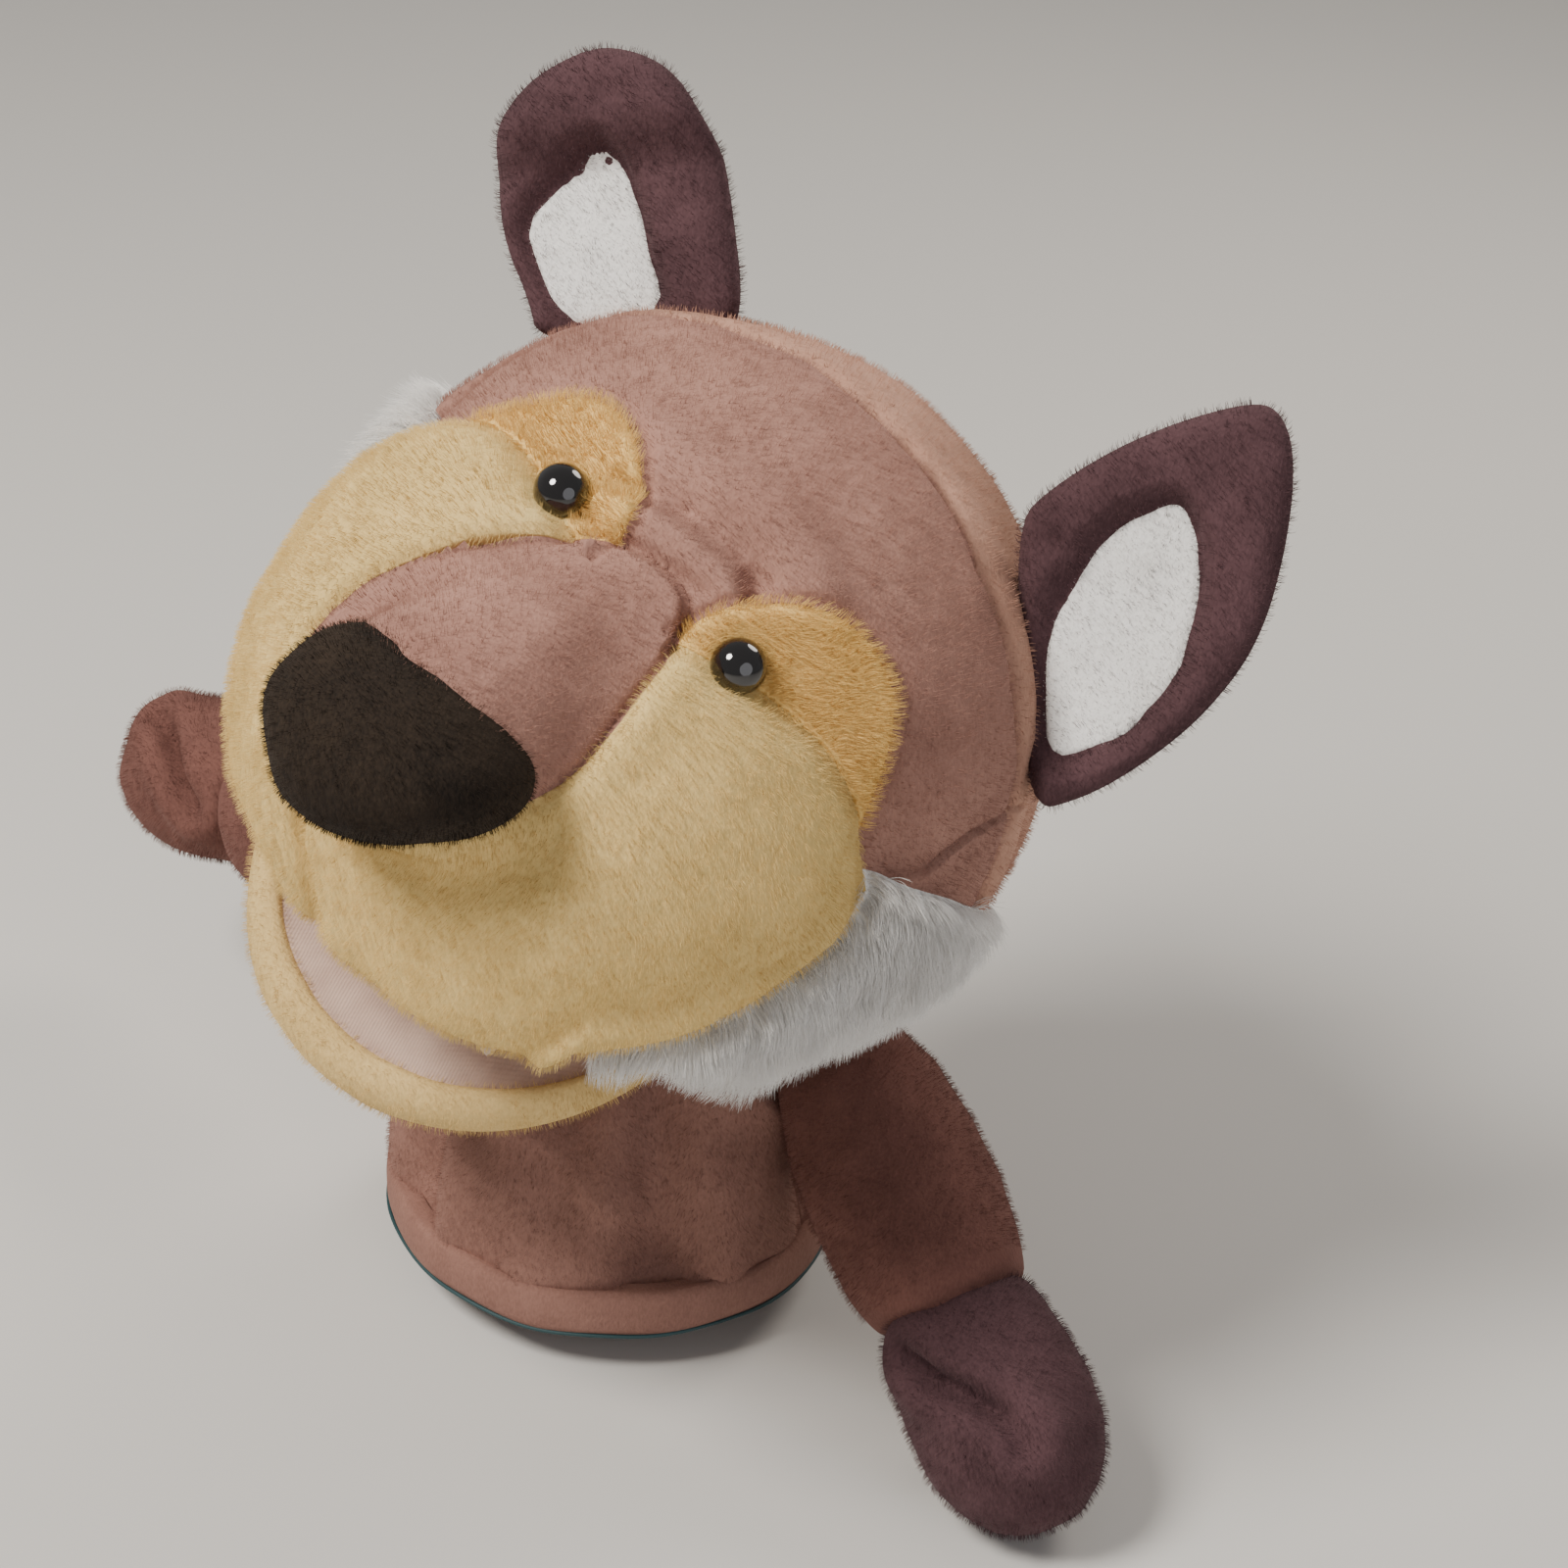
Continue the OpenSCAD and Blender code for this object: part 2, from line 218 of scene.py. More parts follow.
MAT = {
    "mauve": plush("plush_mauve", (0.41, 0.225, 0.175), (0.25, 0.125, 0.097)),
    # the head's back panel is the same mauve fabric, made lighter and warmer here to paint in the warm backlight
    # falling on it
    "back": plush("plush_mauve_painted_backlight", (0.52, 0.30, 0.215), (0.36, 0.19, 0.135)),
    "cream": plush("plush_cream", (0.80, 0.59, 0.25), (0.54, 0.375, 0.135)),
    "gold": plush("plush_gold", (0.86, 0.58, 0.21), (0.62, 0.385, 0.115)),
    "lip": plush("plush_lip", (0.76, 0.55, 0.24), (0.50, 0.34, 0.13)),
    "nose": plush("plush_nose", (0.040, 0.027, 0.018), (0.008, 0.006, 0.005), sheen=0.12),
    "plum": plush("plush_plum", (0.105, 0.054, 0.060), (0.045, 0.022, 0.025), sheen=0.3),
    "brown": plush("plush_brown", (0.195, 0.088, 0.070), (0.105, 0.045, 0.037), sheen=0.25),
    "white": plush("plush_white", (0.88, 0.865, 0.84), (0.70, 0.68, 0.65), sheen=0.25),
    "sleeve": plush("plush_sleeve", (0.31, 0.165, 0.13), (0.185, 0.092, 0.072), sheen=0.25),
    "lining": weave("lining_pink", (0.60, 0.43, 0.34), (0.42, 0.28, 0.22)),
    "teal": simple("dark_teal_ring", (0.012, 0.045, 0.05), 0.6, noisy=0.1),
    "thread": simple("thread_white", (0.75, 0.73, 0.70), 0.6, noisy=0.1),
    "eye": simple("eye_black", (0.006, 0.005, 0.005), 0.06, coat=1.0, noisy=0.01),
}


# ---------------------------------------------------------------- mesh helpers
def mk(name, V, F, mat, body=None, smooth=True):
    me = bpy.data.meshes.new(name)
    me.from_pydata((np.asarray(V, float) / 1000.0).tolist(), [], np.asarray(F).tolist() if not isinstance(F, list) else F)
    me.validate()
    me.update()
    if smooth:
        me.polygons.foreach_set("use_smooth", [True] * len(me.polygons))
    me.materials.append(MAT[mat])
    o = bpy.data.objects.new(name, me)
    bpy.context.scene.collection.objects.link(o)
    if body:
        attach(o, body)
    return o


def grid_faces(nu, nv, wrap_u=True):
    f = []
    nuu = nu if wrap_u else nu - 1
    for j in range(nv - 1):
        for i in range(nuu):
            a, b = j * nu + i, j * nu + (i + 1) % nu
            f.append((a, b, b + nu, a + nu))
    return f


def sdf_poly(P, poly):
    """signed distance to a 2-D polygon, positive inside"""
    P = np.asarray(P, float)
    poly = np.asarray(poly, float)
    d = np.full(len(P), 1e9)
    inside = np.zeros(len(P), bool)
    n = len(poly)
    for i in range(n):
        a, b = poly[i], poly[(i + 1) % n]
        e = b - a
        t = np.clip(((P - a) @ e) / (e @ e), 0, 1)
        d = np.minimum(d, np.linalg.norm(P - (a + t[:, None] * e), axis=1))
        c = ((a[1] > P[:, 1]) != (b[1] > P[:, 1])) & (P[:, 0] < (b[0] - a[0]) * (P[:, 1] - a[1]) / (b[1] - a[1] + 1e-12) + a[0])
        inside ^= c
    return np.where(inside, d, -d)


def dist_poly3(P, pts):
    d = np.full(len(P), 1e9)
    pts = np.asarray(pts, float)
    for a, b in zip(pts[:-1], pts[1:]):
        e = b - a
        t = np.clip(((P - a) @ e) / (e @ e), 0, 1)
        d = np.minimum(d, np.linalg.norm(P - (a + t[:, None] * e), axis=1))
    return d


def rounded(poly, n=3):
    p = np.asarray(poly, float)
    for _ in range(n):
        q = np.roll(p, -1, axis=0)
        p = np.stack([0.75 * p + 0.25 * q, 0.25 * p + 0.75 * q], 1).reshape(-1, 2)
    return p


def clip(A, F, phi):
    """keep the part of the triangle mesh where phi >= 0. A holds per-vertex rows, phi is one value per vertex."""
    pos = phi >= 0
    k = pos[F].sum(1)
    full = F[k == 3]
    out = [full]
    newA, idx = [], {}
    base = len(A)

    def cut(i, j):
        key = (i, j) if i < j else (j, i)
        if key not in idx:
            a, b = key
            t = phi[a] / (phi[a] - phi[b])
            idx[key] = base + len(newA)
            newA.append(A[a] + t * (A[b] - A[a]))
        return idx[key]

    extra = []
    for f in F[(k == 1) | (k == 2)]:
        s = pos[f]
        poly = []
        for m in range(3):
            i, j = int(f[m]), int(f[(m + 1) % 3])
            if s[m]:
                poly.append(i)
            if s[m] != s[(m + 1) % 3]:
                poly.append(cut(i, j))
        for m in range(1, len(poly) - 1):
            extra.append((poly[0], poly[m], poly[m + 1]))
    if extra:
        out.append(np.array(extra))
    F2 = np.concatenate(out) if out else F[:0]
    A2 = np.vstack([A, np.array(newA)]) if newA else A
    used, inv = np.unique(F2, return_inverse=True)
    return A2[used], inv.reshape(F2.shape)


def boundary_edges(F):
    E = np.concatenate([F[:, [0, 1]], F[:, [1, 2]], F[:, [2, 0]]])
    S = np.sort(E, 1)
    key = S[:, 0].astype(np.int64) * 10000000 + S[:, 1]
    u, inv, cnt = np.unique(key, return_inverse=True, return_counts=True)
    return E[cnt[inv] == 1]


def vnormals(V, F):
    n = np.cross(V[F[:, 1]] - V[F[:, 0]], V[F[:, 2]] - V[F[:, 0]])
    N = np.zeros_like(V)
    for k in range(3):
        np.add.at(N, F[:, k], n)
    return N / (np.linalg.norm(N, axis=1, keepdims=True) + 1e-12)


def shell(V, F, t):
    """closed shell of thickness t, going inwards from the surface"""
    N = vnormals(V, F)
    n = len(V)
    V2 = np.vstack([V, V - N * t])
    E = boundary_edges(F)
    side = np.concatenate([np.stack([E[:, 1], E[:, 0], E[:, 0] + n], 1), np.stack([E[:, 1], E[:, 0] + n, E[:, 1] + n], 1)])
    return V2, np.concatenate([F, F[:, ::-1] + n, side])


# ---------------------------------------------------------------- fur
def fuzz(name, V, F, mat, body, per_mm2, length, lean=(0, 0, 0), rad=0.05, curl=0.35, seed=1, blendw=None):
    """short render-only pile on a surface, given in the row frame in mm"""
    r = np.random.default_rng(seed)
    tri = V[F]
    cr = np.cross(tri[:, 1] - tri[:, 0], tri[:, 2] - tri[:, 0])
    area = 0.5 * np.linalg.norm(cr, axis=1)
    n = int(area.sum() * per_mm2 * (1.0))
    if n < 10:
        return None
    pick = r.choice(len(F), n, p=area / area.sum())
    u, v = r.random(n), r.random(n)
    sw = u + v > 1
    u[sw], v[sw] = 1 - u[sw], 1 - v[sw]
    P = tri[pick, 0] + u[:, None] * (tri[pick, 1] - tri[pick, 0]) + v[:, None] * (tri[pick, 2] - tri[pick, 0])
    Nn = cr[pick] / (2 * area[pick][:, None] + 1e-12)
    ln = length * (0.65 + 0.6 * r.random(n))[:, None]
    le = np.asarray(lean, float)
    le = le - (Nn @ le)[:, None] * Nn
    clump = np.stack([vnoise(P, 4.0, 3), vnoise(P, 4.0, 5), vnoise(P, 4.0, 9)], 1)
    d = Nn + le + clump * 0.55 + (r.random((n, 3)) - 0.5) * curl
    d /= np.linalg.norm(d, axis=1, keepdims=True)
    mid = P + 0.5 * ln * (0.55 * Nn + 0.45 * d)
    tip = P + ln * (0.25 * Nn + 0.75 * d)
    pts = np.stack([P - Nn * 0.4, mid, tip], 1).reshape(-1, 3) / 1000.0
    hc = bpy.data.hair_curves.new(name)
    hc.add_curves([3] * n)
    hc.points.foreach_set("position", pts.astype(np.float32).ravel())
    ra = hc.attributes.get("radius") or hc.attributes.new("radius", "FLOAT", "POINT")
    rr = np.tile(np.array([rad, rad * 0.8, rad * 0.25]) / 1000.0, n).astype(np.float32)
    ra.data.foreach_set("value", rr)
    hc.materials.append(MAT[mat])
    o = bpy.data.objects.new(name, hc)
    bpy.context.scene.collection.objects.link(o)
    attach(o, body)
    return o


# ---------------------------------------------------------------- head surface (head frame, mm)
SK, MC = np.array([0, -16, -5.0]), np.array([0, -46, -25.0])


def smin(a, b, k):
    h = np.clip(0.5 + 0.5 * (b - a) / k, 0, 1)
    return b * (1 - h) + a * h - k * h * (1 - h)


def smax(a, b, k):
    return -smin(-a, -b, k)


def f_skull(p):
    return np.linalg.norm(p - SK, axis=-1) - 90


def f_barrel(p):
    x = p[..., 0]
    d = np.hypot(p[..., 1] - MC[1], p[..., 2] - MC[2])
    xc = np.clip(x, -81.5, 81.5) / 82
    r = 75 * np.sqrt(np.clip(1 - np.abs(xc) ** 3, 0, 1))
    sl = 1.5 * 75 * xc ** 2 / 82 / np.sqrt(np.clip(1 - np.abs(xc) ** 3, 1e-3, 1))
    return np.where(np.abs(x) > 81.5, np.hypot(np.maximum(d - 6, 0), np.abs(x) - 81.5), (d - r) / np.sqrt(1 + sl * sl))


RIDGE = [(np.array([-2, -84, 22.0]), 14.0), (np.array([-5, -106, 1.0]), 25.0), (np.array([-7, -122, -13.0]), 27.0)]


def f_ridge(p):
    out = np.full(p.shape[:-1], 1e9)
    for (a, ra), (b, rb) in zip(RIDGE[:-1], RIDGE[1:]):
        d = b - a
        t = np.clip(((p - a) @ d) / (d @ d), 0, 1)
        out = np.minimum(out, np.linalg.norm(p - (a + t[..., None] * d), axis=-1) - (ra + t * (rb - ra)))
    return out


HIN = np.array([0, -36, -62.0])


def f_pal(p, a=19.0):
    a = math.radians(a)
    k = np.clip((-36 - p[..., 1]) / 22, 0, 1)
    rise = k * k * (3 - 2 * k) * (0.0074 * np.clip(p[..., 0], 0, None) ** 2 + 0.0030 * np.clip(-p[..., 0], 0, None) ** 2)
    return 0.6 - (-math.sin(a) * (p[..., 1] - HIN[1]) + math.cos(a) * (p[..., 2] - HIN[2] - rise))


def f_up(p):
    return smin(smin(f_skull(p), f_barrel(p), 5.0), f_ridge(p), 9.0)


def f_bot(p):
    return np.minimum(np.maximum(f_pal(p), p[..., 1] + 32), -45 - p[..., 2])


def f_all(p):
    return smax(f_up(p), f_bot(p), 9.0)


C0 = np.array([0, -52, -22.0])
bm = bmesh.new()
bmesh.ops.create_icosphere(bm, subdivisions=8, radius=1.0)
DIR = np.array([v.co for v in bm.verts])
FH = np.array([[v.index for v in f.verts] for f in bm.faces])
bm.free()
lo_t, hi_t = np.full(len(DIR), 5.0), np.full(len(DIR), 190.0)
for _ in range(22):
    mid = 0.5 * (lo_t + hi_t)
    ins = f_all(C0 + mid[:, None] * DIR) < 0
    lo_t, hi_t = np.where(ins, mid, lo_t), np.where(ins, hi_t, mid)
HV = C0 + lo_t[:, None] * DIR

# seams and regions
BRIDGE = rounded([(-9, 39), (-16, 34.5), (-21, 29), (-27, 23), (-34, 15), (-40, 5), (-45, -6), (-47, -18), (-44, -27), (12, -27), (20, -12), (23, 1), (21.5, 12), (19, 21), (17, 29), (14, 36), (9, 40.5), (0, 41)], 1)
PATCH_L = rounded([(13, 20), (14, 34), (17, 43), (24, 50), (33, 54), (43, 53), (52, 48), (59, 40), (66, 28), (73, 10), (60, -6)], 2)
PATCH_R = rounded([(-13, 24), (-11, 40), (-13, 45), (-20, 50), (-30, 53), (-41, 51), (-50, 44), (-62, 31), (-68, 20), (-73, 8), (-60, -6)], 2)
TUFT = rounded([(-72, 13), (-52, 13), (-31, 11), (0, 4), (22, -2), (28, -12), (14, -36), (0, -48), (-20, -62), (-36, -76), (-60, -92), (-100, -98), (-122, -84), (-116, -50), (-96, -24), (-82, -2)], 2)


def fields(P):
    sk, ba, up, bo = f_skull(P), f_barrel(P), f_up(P), f_bot(P)
    pal = np.minimum(bo - up - 4.0, 1.2 * (np.interp(P[:, 1], [-100, -70, -30], [58, 61, 60]) - np.abs(P[:, 0])))
    bridge = np.minimum(sdf_poly(P[:, [0, 2]], BRIDGE), -80 - P[:, 1])
    edge = np.interp(P[:, 2], [-100, -78, -69, -58, -45, -31, -16, -4, 13, 30], [-98, -98, -102, -101, -95, -85, -76, -65, -62, -20])
    lim = (edge - P[:, 1]) + 2.0 * np.clip(57 - P[:, 0], 0, None)
    muz = np.minimum(sk - ba + 1.0, lim)
    xc = np.interp(P[:, 2], [-95, -83, -72, -66, -60, -50, -40], [-2, -6, -9, -14, -20, -24, -16])
    left = P[:, 0] - xc
    tuft = np.minimum(sdf_poly(P[:, [1, 2]], TUFT), np.abs(P[:, 0]) - np.where(P[:, 0] > 0, np.interp(P[:, 1], [-95, -75, -52], [60, 51, 54]), 54))
    pl = np.minimum(sdf_poly(P[:, [0, 2]], PATCH_L), -20 - P[:, 1])
    pr = np.minimum(sdf_poly(P[:, [0, 2]], PATCH_R), -20 - P[:, 1])
    back = (math.cos(math.radians(14)) * P[:, 1] + math.sin(math.radians(14)) * P[:, 2]) + 14
    return dict(pal=pal, bridge=bridge, muz=muz, left=left, tuft=tuft, pl=pl, pr=pr, back=back)


FD = fields(HV)


def bump_at(x, w):
    return np.exp(-(x / w) ** 2)


off = 0.9 * vnoise(HV, 26, 1) + 0.5 * vnoise(HV, 11, 2) + 0.18 * vnoise(HV, 4, 4)
inm = FD["muz"] > 0
notpal = np.clip(-FD["pal"] / 6, 0, 1)
# crease between muzzle and cranium
off -= 3.4 * np.where(FD["muz"] < 0, bump_at(FD["muz"], 5.0), bump_at(FD["muz"], 1.6)) * (FD["bridge"] < 2)
off += 3.0 * bump_at(FD["muz"] - 6.5, 5.5) * (FD["bridge"] < 0)
# bridge seams, philtrum seam, back seam
off -= 1.5 * bump_at(FD["bridge"], 1.5) * notpal
off += 0.9 * bump_at(FD["bridge"] + 5, 4) * inm
phil = inm & (HV[:, 2] < -36) & (HV[:, 1] < -60)
off -= phil * 2.2 * bump_at(FD["left"], 2.4)
off += phil * 1.2 * bump_at(np.abs(FD["left"]) - 9, 7)
front_seam = (~inm) & (FD["tuft"] < 0)
puck = 1 + 0.55 * vnoise(HV, 5.0, 12)
off -= front_seam * 2.4 * np.clip(puck, 0.1, 2) * bump_at(FD["back"] + 1.5 * vnoise(HV, 6, 21), 1.7)
off += front_seam * 0.9 * bump_at(np.abs(FD["back"]) - 7, 5)
# patches and tufts stand a little proud
patch = np.maximum(FD["pl"], FD["pr"])
patch = np.where(inm, -9, patch)
off += 1.3 * np.clip(patch / 1.5, 0, 1)
off -= 1.2 * bump_at(patch + 1.2, 1.2)
off += 1.5 * np.clip(np.where(inm, -1, FD["tuft"]) / 4, 0, 1)
# brow: a deep fold across the top of the bridge with two soft dents above it
BROW = [(-24, -92, 36), (-16, -94, 36), (-9, -94, 39), (1, -93, 41), (10, -92, 42), (16, -89, 40)]
BROW2 = [(-21, -90, 47), (-12, -89, 51), (-3, -88, 53), (6, -87, 54), (13, -86, 53), (18, -85, 50)]
db, db2 = dist_poly3(HV, BROW), dist_poly3(HV, BROW2)
out = 1 + 0.4 * vnoise(HV, 6, 15)
off -= 2.0 * bump_at(db, 1.7)
off -= 5.2 * out * bump_at(db2, 4.2)
off += 2.6 * bump_at(db2 - 12, 7) * np.clip((HV[:, 2] - 52) / 5, 0, 1)
off += 1.6 * bump_at(db2 - 6.5, 2.6) * np.clip((50 - HV[:, 2]) / 5, 0, 1) * (np.abs(HV[:, 0] + 2) < 20)
# cheek dimple lines running back from the mouth
for pts, dpt, w in ((((66, -60, -40), (58, -78, -52), (46, -92, -62)), 1.2, 3.0), (((-66, -60, -40), (-58, -78, -52), (-46, -92, -62)), 1.2, 3.0)):
    off -= dpt * bump_at(dist_poly3(HV, pts), w)
off *= np.clip((FD["pal"] < 3) + 0.15, 0, 1)
HV = HV + off[:, None] * vnormals(HV, FH)

KEYS = ["pal", "bridge", "muz", "left", "tuft", "pl", "pr", "back"]
A0 = np.hstack([HV] + [FD[k][:, None] for k in KEYS])
col = {k: 3 + i for i, k in enumerate(KEYS)}


def part(A, F, key, sign=1, shift=0.0):
    return clip(A, F, sign * (A[:, col[key]] - shift))


pieces = {}
pieces["palate"], rest = part(A0, FH, "pal"), part(A0, FH, "pal", -1)
pieces["bridge"], rest = part(*rest, "bridge"), part(*rest, "bridge", -1)
muz, rest = part(*rest, "muz"), part(*rest, "muz", -1)
pieces["muzzle_left"], pieces["muzzle_right"] = part(*muz, "left"), part(*muz, "left", -1)
tuft, rest = part(*rest, "tuft"), part(*rest, "tuft", -1)
tA, tF = tuft
pieces["tuft_left"] = clip(tA, tF, tA[:, 0] - 20)
pieces["tuft_right"] = clip(tA, tF, -20 - tA[:, 0])
pieces["patch_left"], rest = part(*rest, "pl"), part(*rest, "pl", -1)
pieces["patch_right"], rest = part(*rest, "pr"), part(*rest, "pr", -1)
pieces["back"], pieces["forehead"] = part(*rest, "back"), part(*rest, "back", -1)

SURF = {}
spec = {
    "palate": ("palate_skin", "lining", ["palate_lining", "palate_board"], "lining_pink"),
    "bridge": ("bridge_skin", "mauve", ["nose_bridge"], "plush_mauve"),
    "muzzle_left": ("muzzle_left_skin", "cream", ["muzzle_left", "muzzle_stuffing"], "plush_cream"),
    "muzzle_right": ("muzzle_right_skin", "cream", ["muzzle_right"], "plush_cream"),
    "tuft_left": ("cheek_left_skin", "white", ["cheek_tuft_left"], "plush_white"),
    "tuft_right": ("cheek_right_skin", "white", ["cheek_tuft_right"], "plush_white"),
    "patch_left": ("patch_left_skin", "gold", ["eye_patch_left"], "plush_cream"),
    "patch_right": ("patch_right_skin", "gold", ["eye_patch_right"], "plush_cream"),
    # the back panel takes the lighter, warmer mauve with painted warm backlight; its fabric is the same mauve as the
    # forehead
    "back": ("head_back_skin", "back", ["head_back_panel"], "plush_mauve"),
    "forehead": ("forehead_skin", "mauve", ["forehead_panel", "head_stuffing"], "plush_mauve"),
}
for k, (nm, mat, nodes, slot) in spec.items():
    A, F = pieces[k]
    V = h2b(A[:, :3])
    SURF[k] = (V, F)
    V2, F2 = shell(V, F, 1.6)
    o = mk(nm, V2, F2, mat, "head")
    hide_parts(*nodes)


# ---------------------------------------------------------------- nose
def super_nose(n=6):
    bm = bmesh.new()
    bmesh.ops.create_icosphere(bm, subdivisions=n, radius=1.0)
    D = np.array([v.co for v in bm.verts])
    F = np.array([[v.index for v in f.verts] for f in bm.faces])
    bm.free()
    outline = np.array([(-38, -16), (-35, -7), (-27, 1), (-16, 5.5), (-4, 7.5), (7, 7), (16, 4.5), (23, 0), (25.5, -7), (23, -16), (16, -26), (8, -34), (-1, -39.5), (-10, -41.5), (-20, -40), (-30, -33), (-37, -25)], float)
    outline = rounded(outline, 2)
    cx, cz = -6.0, -17.0
    ang = np.arctan2(outline[:, 1] - cz, outline[:, 0] - cx)
    rad = np.hypot(outline[:, 0] - cx, outline[:, 1] - cz)
    o = np.argsort(ang)
    a = np.arctan2(D[:, 2], D[:, 0])
    R = np.interp(a, np.concatenate([ang[o] - 2 * np.pi, ang[o], ang[o] + 2 * np.pi]), np.tile(rad[o], 3))
    rr = np.hypot(D[:, 0], D[:, 2])
    q = np.power(rr, 0.75)
    X = cx + R * q * np.cos(a)
    Z = cz + R * q * np.sin(a)
    depth = np.where(D[:, 1] < 0, 25.0, 16.0)
    Y = -131 + depth * np.sign(D[:, 1]) * np.power(np.abs(D[:, 1]), 0.9)
    return np.stack([X, Y, Z], 1), F


NV, NF = super_nose(6)
# the nose tips back a little and leans to the puppet's right
c = np.array([-6, -131, -17.0])
NV = ((NV - c) * np.array([0.95, 1, 0.97])) @ rotz(-3).T + c - np.array([1.2, 0, 0.6])
NV += (0.5 * vnoise(NV, 10, 7))[:, None] * vnormals(NV, NF)
V = h2b(NV)
SURF["nose"] = (V, NF)
o = mk("nose_skin", V, NF, "nose", "head")
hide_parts("nose_cover", "nose_stuffing")

# ---------------------------------------------------------------- eyes
EYE = np.array([28, -91.6, 35.0])
RE = rotz(-69.68) @ roty(63.62)
for s, side in ((1, "left"), (-1, "right")):
    pts = []
    nr, na = 16, 48
    for j in range(nr + 1):
        ph = math.pi / 2 * j / nr * 1.12
        for i in range(na):
            th = 2 * math.pi * i / na
            pts.append((6.3 * math.sin(ph) * math.cos(th), 6.3 * math.sin(ph) * math.sin(th), 6.3 * math.cos(ph) * 0.95))
    P = np.array(pts) @ RE.T + EYE + RE @ np.array([0, 0, 0.6])
    P[:, 0] *= s
    F = grid_faces(na, nr + 1)
    if s < 0:
        F = [f[::-1] for f in F]
    o = mk("eye_dome_" + side, h2b(P), F, "eye", "head")
    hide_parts("eye_" + side, "eye_washer_" + side)

# ---------------------------------------------------------------- jaw
def at_jaw(p):
    return h2b(np.asarray(p, float) @ rotx(56).T + HIN)


JX, JY = 60.0, 66.0
na = 97
th = np.linspace(math.pi, 2 * math.pi, na)


def jaw_ring(inset, z, y_back=-6.0):
    m = (0.4 + 0.6 * np.abs(np.sin(th)) ** 1.3) if 0 < inset < 12 else 1.0
    pts = np.stack([(JX - inset * m) * np.cos(th), (JY - inset * m) * np.sin(th), z + 0 * th], 1)
    pts[:, 1] = np.minimum(pts[:, 1], y_back)
    return pts


# the padded lower lip: a rolled edge round a flat floor, then the underside
prof = [(9.6, -1.4), (9.0, 0.3), (7.8, 1.3), (5.6, 1.3), (3.0, 0.3), (0.6, -1.6), (-0.9, -4.4), (-1.5, -7.6), (-0.9, -10.8), (1.2, -13.4), (5.6, -15.2), (13, -16.4), (20, -17.2), (32, -17.8), (46, -18.2)]
rings = [jaw_ring(i, z) for i, z in prof]
P = np.concatenate(rings)
F = []
m = len(rings)
for j in range(m - 1):
    for i in range(na - 1):
        a = j * na + i
        F.append((a, a + na, a + na + 1, a + 1))
P = P + 0.5 * vnoise(P, 9, 3)[:, None] * np.array([0.4, 0.4, 1.0])
ctr = len(P)
P = np.vstack([P, [[0, -10, -18.4]]])
for i in range(na - 1):
    a = (m - 1) * na + i
    F.append((a, ctr, a + 1))
o = mk("jaw_skin", at_jaw(P), F, "lip", "jaw")
SURF["jaw"] = (at_jaw(P), np.array([(f[0], f[1], f[2]) for f in F] + [(f[0], f[2], f[3]) for f in F if len(f) == 4]))
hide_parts("jaw_cover", "thumb_pocket")

ins = np.concatenate([[7.5, 5.0], np.linspace(8, 58, 12)])
rings = [jaw_ring(8.6, -0.5), jaw_ring(10.0, -0.9), jaw_ring(11.6, -1.2)] + [jaw_ring(i, -1.2 - 1.9 * math.sin(min(1, (i - 12) / 22) * math.pi / 2)) for i in np.linspace(13, 56, 12)]
P = np.concatenate(rings)
F = []
for j in range(len(rings) - 1):
    for i in range(na - 1):
        a = j * na + i
        F.append((a, a + 1, a + na + 1, a + na))
P[:, 2] += 0.6 * vnoise(P, 12, 8)
Fq = np.array(F)
Ft = np.concatenate([Fq[:, :3], Fq[:, [0, 2, 3]]])
V2, F2 = shell(at_jaw(P), Ft[:, ::-1], -0.8)
o = mk("jaw_lining_skin", V2, F2, "lining", "jaw")
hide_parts("jaw_lining", "jaw_board")

# mouth web: the fold of lining behind the teeth line that joins both jaws
nw, nh = 41, 9
pts = []
for j in range(nh):
    f = j / (nh - 1)
    ang = 19 + (56 - 19) * f
    R = rotx(ang)
    for i in range(nw):
        x = -58 + 116 * i / (nw - 1)
        ybk = -8 - 9 * math.sin(math.pi * f) * (1 - (x / 60) ** 2)
        zz = 0.4 if j == 0 else (-1.6 if j == nh - 1 else 0)
        pts.append(np.array([x, ybk, zz]) @ R.T + HIN)
P = np.array(pts)
Fq = np.array(grid_faces(nw, nh, False))
Ft = np.concatenate([Fq[:, :3], Fq[:, [0, 2, 3]]])
V2, F2 = shell(h2b(P), Ft, 0.8)
o = mk("mouth_web", V2, F2, "lining")
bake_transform(o)

# ---------------------------------------------------------------- ears
EB = np.array([63, -16, 59.0])
EAR_L = [(-26, 22), (20, -26), (29, -12), (34, 6), (36, 23), (34, 42), (24, 62), (13, 77), (4, 83), (-3, 81), (-16, 60), (-24, 38)]
EAR_R = [(-16, 8), (20, -26), (28, -20), (44, -13), (58, 0), (63, 18), (55, 37), (45, 44), (33, 47), (19, 43), (2, 30), (-14, 16)]
LIN_L = [(15, -14), (-5, 10), (-8, 29), (-7, 41), (-1, 54), (8, 51), (19, 38), (28, 18), (24, -2)]
LIN_R = [(0, 1), (7, -8), (15, -17), (22, -17), (33, -12), (42, -7), (42, 6), (39, 22), (31, 22), (15, 11.5)]


